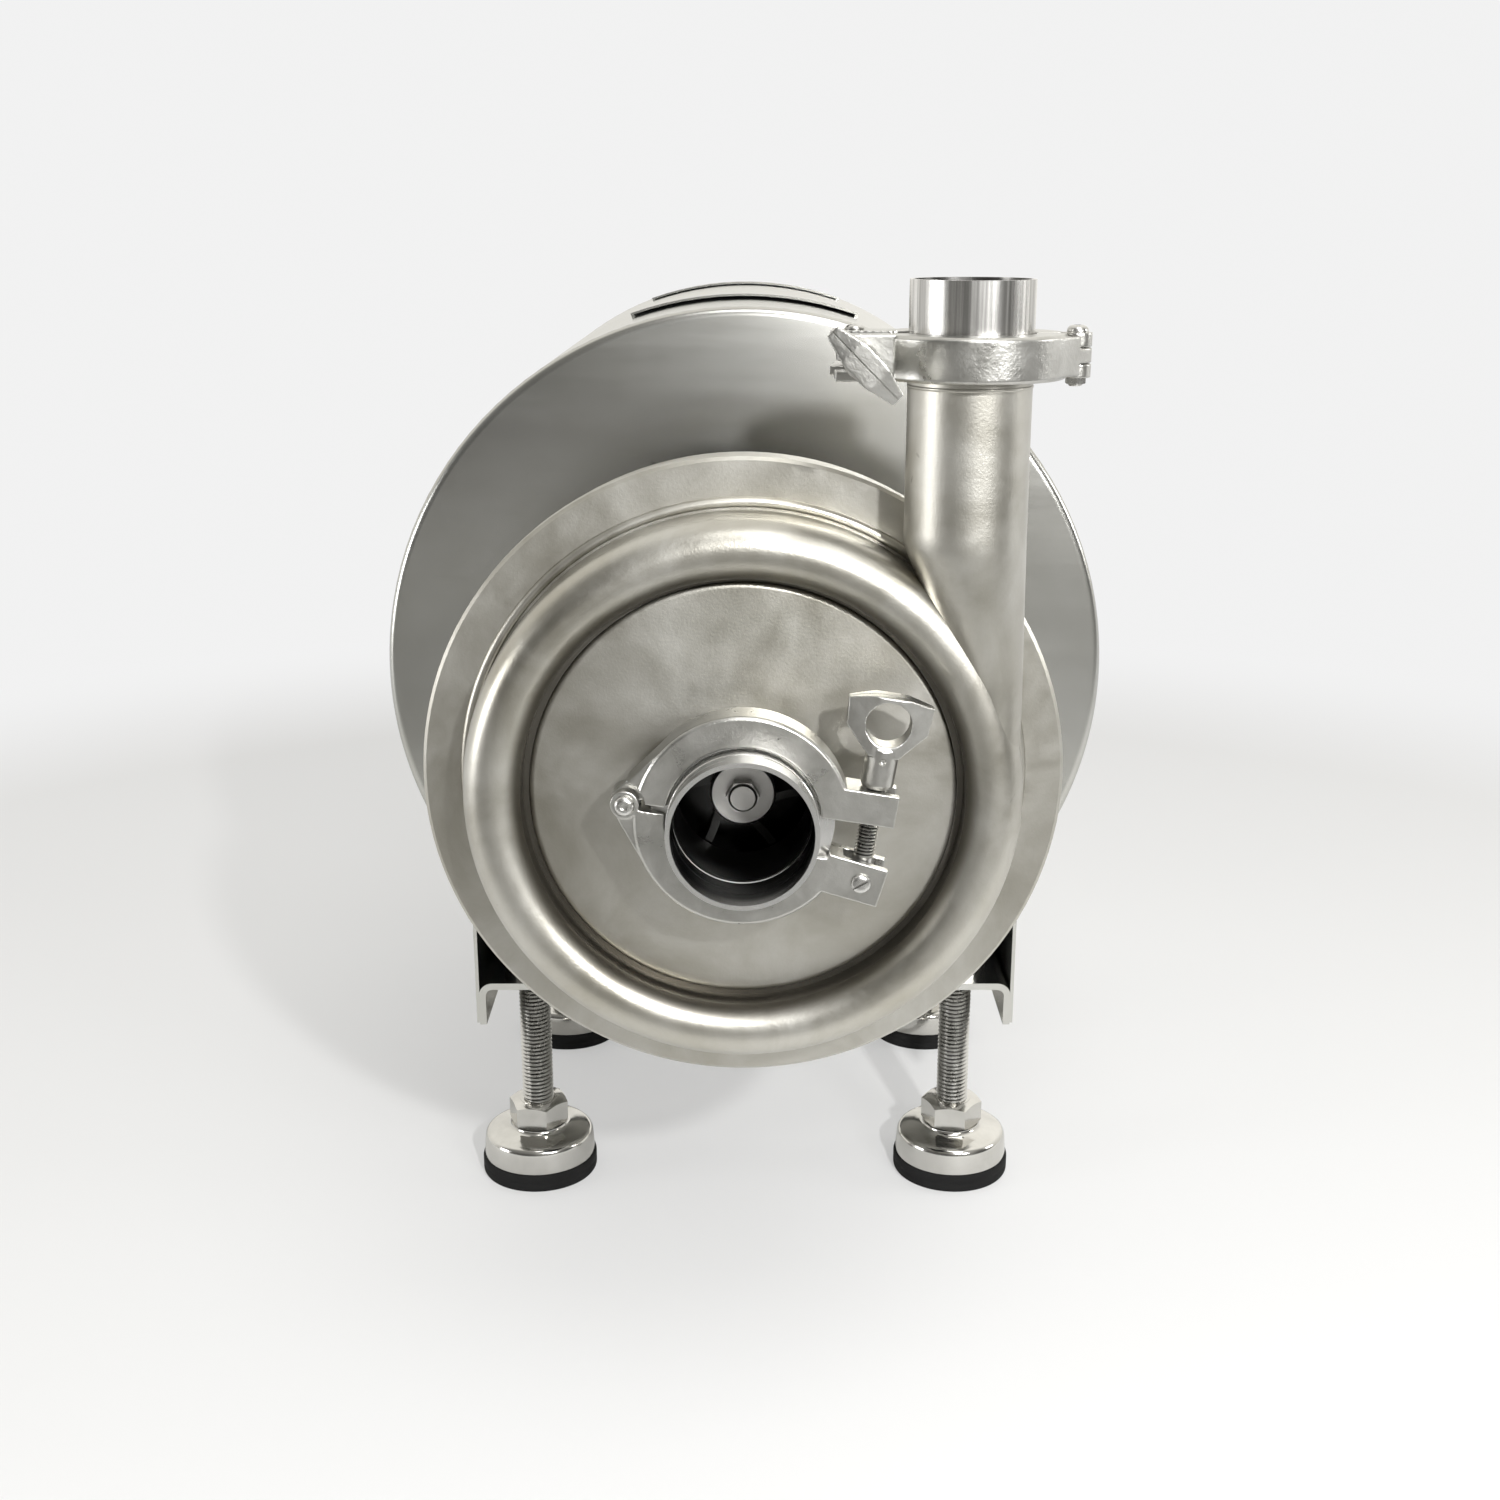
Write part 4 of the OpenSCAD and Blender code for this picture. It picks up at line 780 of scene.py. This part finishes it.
def castShape(nodeName, name, grain, softness, factor):
    # a cast piece: corners and inner corners are softened all over
    obj = copyNode(nodeName, name)
    mod = obj.modifiers.new("cast", "REMESH")
    mod.mode = "VOXEL"
    mod.voxel_size = grain / 1000
    applyModifier(obj, mod)
    mod = obj.modifiers.new("soften", "SMOOTH")
    mod.factor = factor
    mod.iterations = softness
    applyModifier(obj, mod)
    return obj


def dress(obj, name, body, slot, nodes=(), angle=35, look=None):
    # finish, smooth shading, and the body that the piece moves with
    obj.name = name
    obj.data.name = name
    obj.data.materials.clear()
    obj.data.materials.append(finish[look or slot])
    takeUp(obj)
    bpy.ops.object.shade_smooth_by_angle(angle=math.radians(angle))
    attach(obj, body)
    if nodes:
        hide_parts(*nodes)


# four feet: pressed cup, hexagon and threaded rod, each on a rubber pad; millimetres
footLook = {
    "cup": [(30.0, 11.1), (33.8, 11.1), (34.0, 11.7), (33.7, 16.0), (33.2, 22.5), (32.9, 24.2), (32.2, 25.6),
            (31.1, 26.5), (29.8, 26.9), (24.0, 27.8), (19.6, 28.7), (17.6, 29.6), (17.0, 30.6), (16.9, 31.2)],
    "pad": [(31.5, 0.0), (33.4, 0.0), (34.3, 0.4), (34.8, 1.2), (35.0, 2.2), (35.0, 5.0), (34.8, 5.5),
            (34.8, 6.0), (35.0, 6.5), (35.0, 9.6), (34.8, 10.4), (34.2, 10.9), (33.4, 11.0)],
    "hexFlats": 32.0, "hexLow": 31.0, "hexHigh": 46.5, "hexTurn": 21.0,
    "collar": [(11.4, -1.0), (11.2, 0.3), (10.2, 0.6)],  # heights from the top of the hexagon
    "root": 7.8, "crest": 9.5, "pitch": 2.5, "rodLow": 45.0, "rodHigh": 181.0,
    "cupSteps": 72, "collarSteps": 48, "rodSteps": 36,
}


def makeFeet():
    sizes = footLook
    top = sizes["hexHigh"]
    cup = turnShape("cup", sizes["cup"], sizes["cupSteps"])
    hexagon = hexShape("hexagon", sizes["hexFlats"], sizes["hexLow"], top)
    setPlace(hexagon, Matrix.Rotation(math.radians(sizes["hexTurn"]), 4, "Z"))
    collar = turnShape("collar", [(wide, top + high) for wide, high in sizes["collar"]], sizes["collarSteps"])
    rod = threadShape("rod", sizes["root"], sizes["crest"], sizes["pitch"], sizes["rodLow"], sizes["rodHigh"],
                      sizes["rodSteps"])
    foot = joinPieces("foot", [cup, hexagon, collar])
    pad = turnShape("pad", sizes["pad"], sizes["cupSteps"])
    kinds = (("foot", foot, "foot_chrome", None), ("pad", pad, "seal_rubber", None),
             ("rod", rod, "foot_chrome", "threadSteel"))
    for end in ("front", "rear"):
        for side, x in (("left", -place["footSide"]), ("right", place["footSide"])):
            spot = Matrix.Translation((x, place["foot" + end.capitalize()], 0))
            label = "_" + end + "_" + side
            for kind, model, slot, look in kinds:
                piece = copyPiece(model, kind)
                setPlace(piece, spot)
                node = () if kind == "rod" else (kind + label,)
                title = kind + end.capitalize() + side.capitalize()
                dress(piece, title, "leg" + label, slot, node, look=look)
    for model in (foot, pad, rod):
        bpy.data.objects.remove(model, do_unlink=True)
    print("feet ready")


makeFeet()


# two clamps: cast halves and wing nuts, threaded swing bolts, pins; millimetres in the clamp's own frame
clampLook = {
    "grain": 0.42, "softness": 2, "wingGrain": 0.38, "wingSoftness": 4, "softFactor": 0.5, "smoothAngle": 60,
    "pivotDrop": -18.6,
}
clampSides = {
    "inlet": {"frame": inletFrame, "bolt": 1000 * place["inletBolt"], "hinge": -49.75, "nutTurn": 0,
              "halves": {"lower": "stand", "upper": "inlet_upper"}},
    "outlet": {"frame": outletFrame, "bolt": 1000 * place["outletBolt"], "hinge": -43.0, "nutTurn": -45,
               "halves": {"rear": "stand", "front": "outlet_front"}},
}
wingLook = {
    "seat": 21.5, "top": 40.0, "shoulder": 7.2, "reach": 18.6, "drop": 2.6,
    "partingWide": 0.35, "partingDeep": 0.9, "partingOver": 2.0,
    "dimple": 1.7, "dimplePlace": (0, 13.0, 7.7), "dimpleSteps": 24,
}


def markWing(wing, look):
    # parting line of the casting along the wing's end, and a centre mark on the shank
    sizes = wingLook
    spot = look["frame"] @ Matrix.Translation((look["bolt"] / 1000, sizes["seat"] / 1000, 0))
    spot = spot @ Matrix.Rotation(math.radians(look["nutTurn"]), 4, "Y")
    wide, top, shoulder = sizes["partingWide"], sizes["top"], sizes["shoulder"]
    line = makeBox((-shoulder, top - sizes["partingDeep"], -wide),
                   (shoulder, top + sizes["partingOver"], wide))
    for way in (-1, 1):
        openEdit(line)
        pick(line, "FACE", lambda co, no: no.x * way > 0.9)
        reach = (way * (sizes["reach"] - shoulder) / 1000, -sizes["drop"] / 1000, 0)
        bpy.ops.mesh.extrude_region_move(TRANSFORM_OT_translate={"value": reach})
        closeEdit()
    mendShell(line)
    deselectAll()
    bpy.ops.mesh.primitive_uv_sphere_add(segments=sizes["dimpleSteps"], ring_count=sizes["dimpleSteps"] // 2,
                                         radius=sizes["dimple"] / 1000,
                                         location=[value / 1000 for value in sizes["dimplePlace"]])
    mark = bpy.context.object
    applyPlace()
    for tool in (line, mark):
        setPlace(tool, spot)
        useTool(wing, tool, "DIFFERENCE")


boltLook = {
    "eye": [(3.5, -3.7), (6.6, -3.7), (7.2, -3.4), (7.5, -2.8), (7.5, 2.8), (7.2, 3.4), (6.6, 3.7),
            (3.5, 3.7), (3.5, -3.7)],
    "neck": [(3.6, 5.2), (4.3, 6.0), (4.4, 8.0), (4.4, 9.6), (3.8, 10.0)],
    "root": 3.45, "crest": 4.5, "pitch": 1.5, "threadLow": 9.0, "end": 37.5, "eyeSteps": 40, "steps": 28,
}
alongV = Matrix.Rotation(math.radians(-90), 4, "X")


def pivotSpot(look):
    # where the swing bolt's eye turns on its screw
    return look["frame"] @ Matrix.Translation((look["bolt"] / 1000, clampLook["pivotDrop"] / 1000, 0))


def makeBolt(side, look):
    sizes = boltLook
    eye = turnShape("eye", sizes["eye"], sizes["eyeSteps"], loop=True)
    shank = threadShape("shank", sizes["root"], sizes["crest"], sizes["pitch"], sizes["threadLow"],
                        sizes["end"] - clampLook["pivotDrop"], sizes["steps"])
    neck = turnShape("neck", sizes["neck"], sizes["steps"])
    for part in (shank, neck):
        setPlace(part, alongV)
    bolt = joinPieces("bolt", [eye, shank, neck])
    setPlace(bolt, pivotSpot(look))
    dress(bolt, side + "SwingBolt", side + "_bolt", "bright_screws", (side + "_swing_bolt",),
          look="boltSteel")


pinLook = {
    "dome": [(4.3, 8.9), (4.4, 9.6), (4.2, 10.6), (3.5, 11.4), (2.6, 11.8), (2.1, 11.9)],
    "socket": (2.9, 10.4, 13.0), "socketSteps": 24, "nut": (7.6, -11.6, -8.9),
    "hingeStem": [(2.4, -12.4), (2.9, -11.9), (2.9, 8.95), (2.4, 9.2)],
    "head": [(3.6, 8.9), (4.1, 9.2), (4.2, 9.8), (3.9, 10.4), (3.1, 10.9), (1.8, 11.1)],
    "slotLow": (-6.0, -0.55, 9.9), "slotHigh": (6.0, 0.55, 12.3), "slotTurn": 38.0,
    "pivotStem": [(2.5, -9.6), (2.9, -9.0), (2.9, 8.95), (2.4, 9.2)],
    "headSteps": 40, "stemSteps": 32,
}


def makePins(side, look):
    # hinge pin: dome with a socket in front, hexagon nut with the pin's end behind
    sizes = pinLook
    dome = turnShape("dome", sizes["dome"], sizes["headSteps"])
    useTool(dome, hexShape("socket", *sizes["socket"], sizes["socketSteps"]), "DIFFERENCE")
    nut = hexShape("nut", *sizes["nut"])
    stem = turnShape("stem", sizes["hingeStem"], sizes["stemSteps"])
    pin = joinPieces("pin", [dome, nut, stem])
    setPlace(pin, look["frame"] @ Matrix.Translation((look["hinge"] / 1000, 0, 0)))
    dress(pin, side + "HingePin", "stand", "bright_screws", (side + "_hinge_pin",))
    # pivot screw: slotted head
    head = turnShape("head", sizes["head"], sizes["headSteps"])
    slot = makeBox(sizes["slotLow"], sizes["slotHigh"])
    setPlace(slot, Matrix.Rotation(math.radians(sizes["slotTurn"]), 4, "Z"))
    useTool(head, slot, "DIFFERENCE")
    stem = turnShape("stem", sizes["pivotStem"], sizes["stemSteps"])
    screw = joinPieces("screw", [head, stem])
    setPlace(screw, pivotSpot(look))
    dress(screw, side + "PivotScrew", "stand", "bright_screws", (side + "_pivot_pin",))


def makeClamps():
    sizes = clampLook
    for side, look in clampSides.items():
        for half, body in look["halves"].items():
            node = side + "_clamp_" + half
            piece = castShape(node, "half", sizes["grain"], sizes["softness"], sizes["softFactor"])
            title = side + "Clamp" + half.capitalize()
            dress(piece, title, body, "cast_steel", (node,), sizes["smoothAngle"])
        node = side + "_wing_nut"
        wing = castShape(node, "wing", sizes["wingGrain"], sizes["wingSoftness"], sizes["softFactor"])
        markWing(wing, look)
        dress(wing, side + "WingNut", side + "_nut", "cast_steel", (node,), sizes["smoothAngle"])
        makeBolt(side, look)
        makePins(side, look)
    print("clamps ready")


makeClamps()

# casing: smooth skin over the throat, ridge at the foot of the bead, cover plate and weld seams; millimetres
casingLook = {
    # height above the shaft line, left edge and right edge of the throat
    "throat": [(150, 67.47, 118.53), (138, 67.45, 118.55), (126, 67.4, 118.6), (117, 67.3, 118.65),
               (112, 67.3, 118.7), (108, 68.5, 118.75), (99, 72.6, 118.9), (90, 76.4, 119.0),
               (81, 80.9, 119.15), (72, 85.4, 119.3), (63, 89.8, 119.45), (55, 93.4, 119.6),
               (47, 96.2, 119.75), (38, 97.0, 119.8), (28, 97.0, 119.85), (6, 97.0, 119.9)],
    "skinWall": 0.4, "skinSteps": 72,
    "ridge": [(122.4, 0.0), (122.7, 1.3), (123.6, 2.1), (125.0, 2.2), (126.2, 1.6), (126.9, 0.6),
              (127.0, 0.0), (122.4, 0.0)],
    "plate": [(31.0, 19.2), (93.6, 19.2), (93.9, 20.8), (93.5, 21.9), (92.6, 22.5), (91.2, 22.7),
              (37.0, 22.7), (34.4, 23.1), (32.8, 24.1), (32.0, 25.8), (31.0, 26.2), (31.0, 19.2)],
    # weld seams, as half widths and heights over the tube: below the discharge clamp and round the inlet stub
    "seam": [(-0.9, -0.3), (-0.6, 0.2), (0.0, 0.35), (0.6, 0.2), (0.9, -0.3), (-0.9, -0.3)],
    "dischargeTube": 25.5, "dischargeSeam": 176.2, "inletTube": 31.75, "inletSeam": 69.8,
    "ringSteps": 160, "seamSteps": 96, "ringAngle": 50, "tubeAngle": 60,
}
towardsCamera = Matrix.Rotation(math.radians(90), 4, "X")
flangeSpot = Matrix.Translation((0, place["flangeFace"], place["shaftHeight"])) @ towardsCamera
dischargeSpot = Matrix.Translation((place["outletOffset"], place["flangeFace"] - place["outletReach"],
                                    place["shaftHeight"]))


def makeCasing():
    sizes = casingLook
    rings = []
    for high, left, right in sizes["throat"]:
        middle = ((left + right) / 2000, place["flangeFace"] - place["outletReach"],
                  place["shaftHeight"] + high / 1000)
        rings.append((middle, (right - left) / 2000))
    skin = drawTube("skin", rings, sizes["skinSteps"])
    mod = skin.modifiers.new("wall", "SOLIDIFY")
    mod.thickness = sizes["skinWall"] / 1000
    mod.offset = -1
    applyModifier(skin, mod)
    dress(skin, "throatSkin", "stand", "satin_steel", (), sizes["tubeAngle"])
    for kind, name in (("ridge", "beadFootRing"), ("plate", "coverPlate")):
        ring = turnShape(kind, sizes[kind], sizes["ringSteps"], loop=True)
        setPlace(ring, flangeSpot)
        dress(ring, name, "stand", "satin_steel", (), sizes["ringAngle"])
    seams = (("discharge", dischargeSpot, "satin_steel"), ("inlet", flangeSpot, "polished_steel"))
    for name, spot, slot in seams:
        tube, level = sizes[name + "Tube"], sizes[name + "Seam"]
        profile = [(tube + high, level + wide) for wide, high in sizes["seam"]]
        seam = turnShape("seam", profile, sizes["seamSteps"], loop=True)
        setPlace(seam, spot)
        dress(seam, name + "Seam", "stand", slot, (), sizes["tubeAngle"])
    print("casing ready")


makeCasing()

# shroud: front plate with a rolled rim, and the shell cut back behind that rim; millimetres
shroudLook = {
    "front": -59.175, "rim": 4.6, "besideHoods": (8.0, 50.0, 240.0, 282.0), "stripWeight": 50,
    "shellAngle": 12,
    "sideHalf": 155.8, "sideTop": -120.0, "low": -186.0,
    "cutSide": 260, "cutHalf": 300, "cutNear": 5, "cutFar": 10, "plateSteps": 200,
    "plate": [(101.5, -2.0), (101.5, -0.3), (101.9, 0.0), (192.6, 0.0), (194.6, -0.3), (196.2, -1.2),
              (197.2, -2.7), (197.45, -4.6), (195.6, -4.6), (195.3, -3.3), (194.4, -2.4), (192.6, -2.0),
              (101.5, -2.0)],
}


def makeShroud():
    look = shroudLook
    axis, half = place["shaftHeight"] * 1000, look["cutHalf"]
    plate = turnShape("plate", look["plate"], look["plateSteps"], loop=True)
    setPlace(plate, Matrix.Translation((0, look["front"] / 1000, place["shaftHeight"])) @ towardsCamera)
    near, far, bottom = look["front"] - look["cutNear"], look["front"] + look["cutFar"], axis - half
    useTool(plate, makeBox((-half, near, bottom), (half, far, axis + look["low"])), "DIFFERENCE")
    for side in (-1, 1):
        left, right = sorted((side * look["sideHalf"], side * look["cutSide"]))
        useTool(plate, makeBox((left, near, bottom), (right, far, axis + look["sideTop"])), "DIFFERENCE")
    dress(plate, "shroudFrontPlate", "stand", "sheet_steel", ("shroud_front",))
    shell = copyNode("shroud_shell", "shell")
    openEdit(shell)
    bpy.ops.mesh.select_all(action="SELECT")
    bpy.ops.mesh.bisect(plane_co=(0, (look["front"] + look["rim"]) / 1000, 0), plane_no=(0, -1, 0),
                        use_fill=True, clear_outer=True)
    for level in look["besideHoods"]:
        bpy.ops.mesh.select_all(action="SELECT")
        bpy.ops.mesh.bisect(plane_co=(0, level / 1000, 0), plane_no=(0, 1, 0))
    closeEdit()
    mendShell(shell)
    dress(shell, "shroudShell", "stand", "sheet_steel", ("shroud_shell",), look["shellAngle"])
    # the long strips of the shell set the shading, not the slivers beside the hoods
    mod = shell.modifiers.new("evenShading", "WEIGHTED_NORMAL")
    mod.mode = "FACE_AREA"
    mod.weight = look["stripWeight"]
    mod.keep_sharp = True
    applyModifier(shell, mod)
    print("shroud ready")


makeShroud()
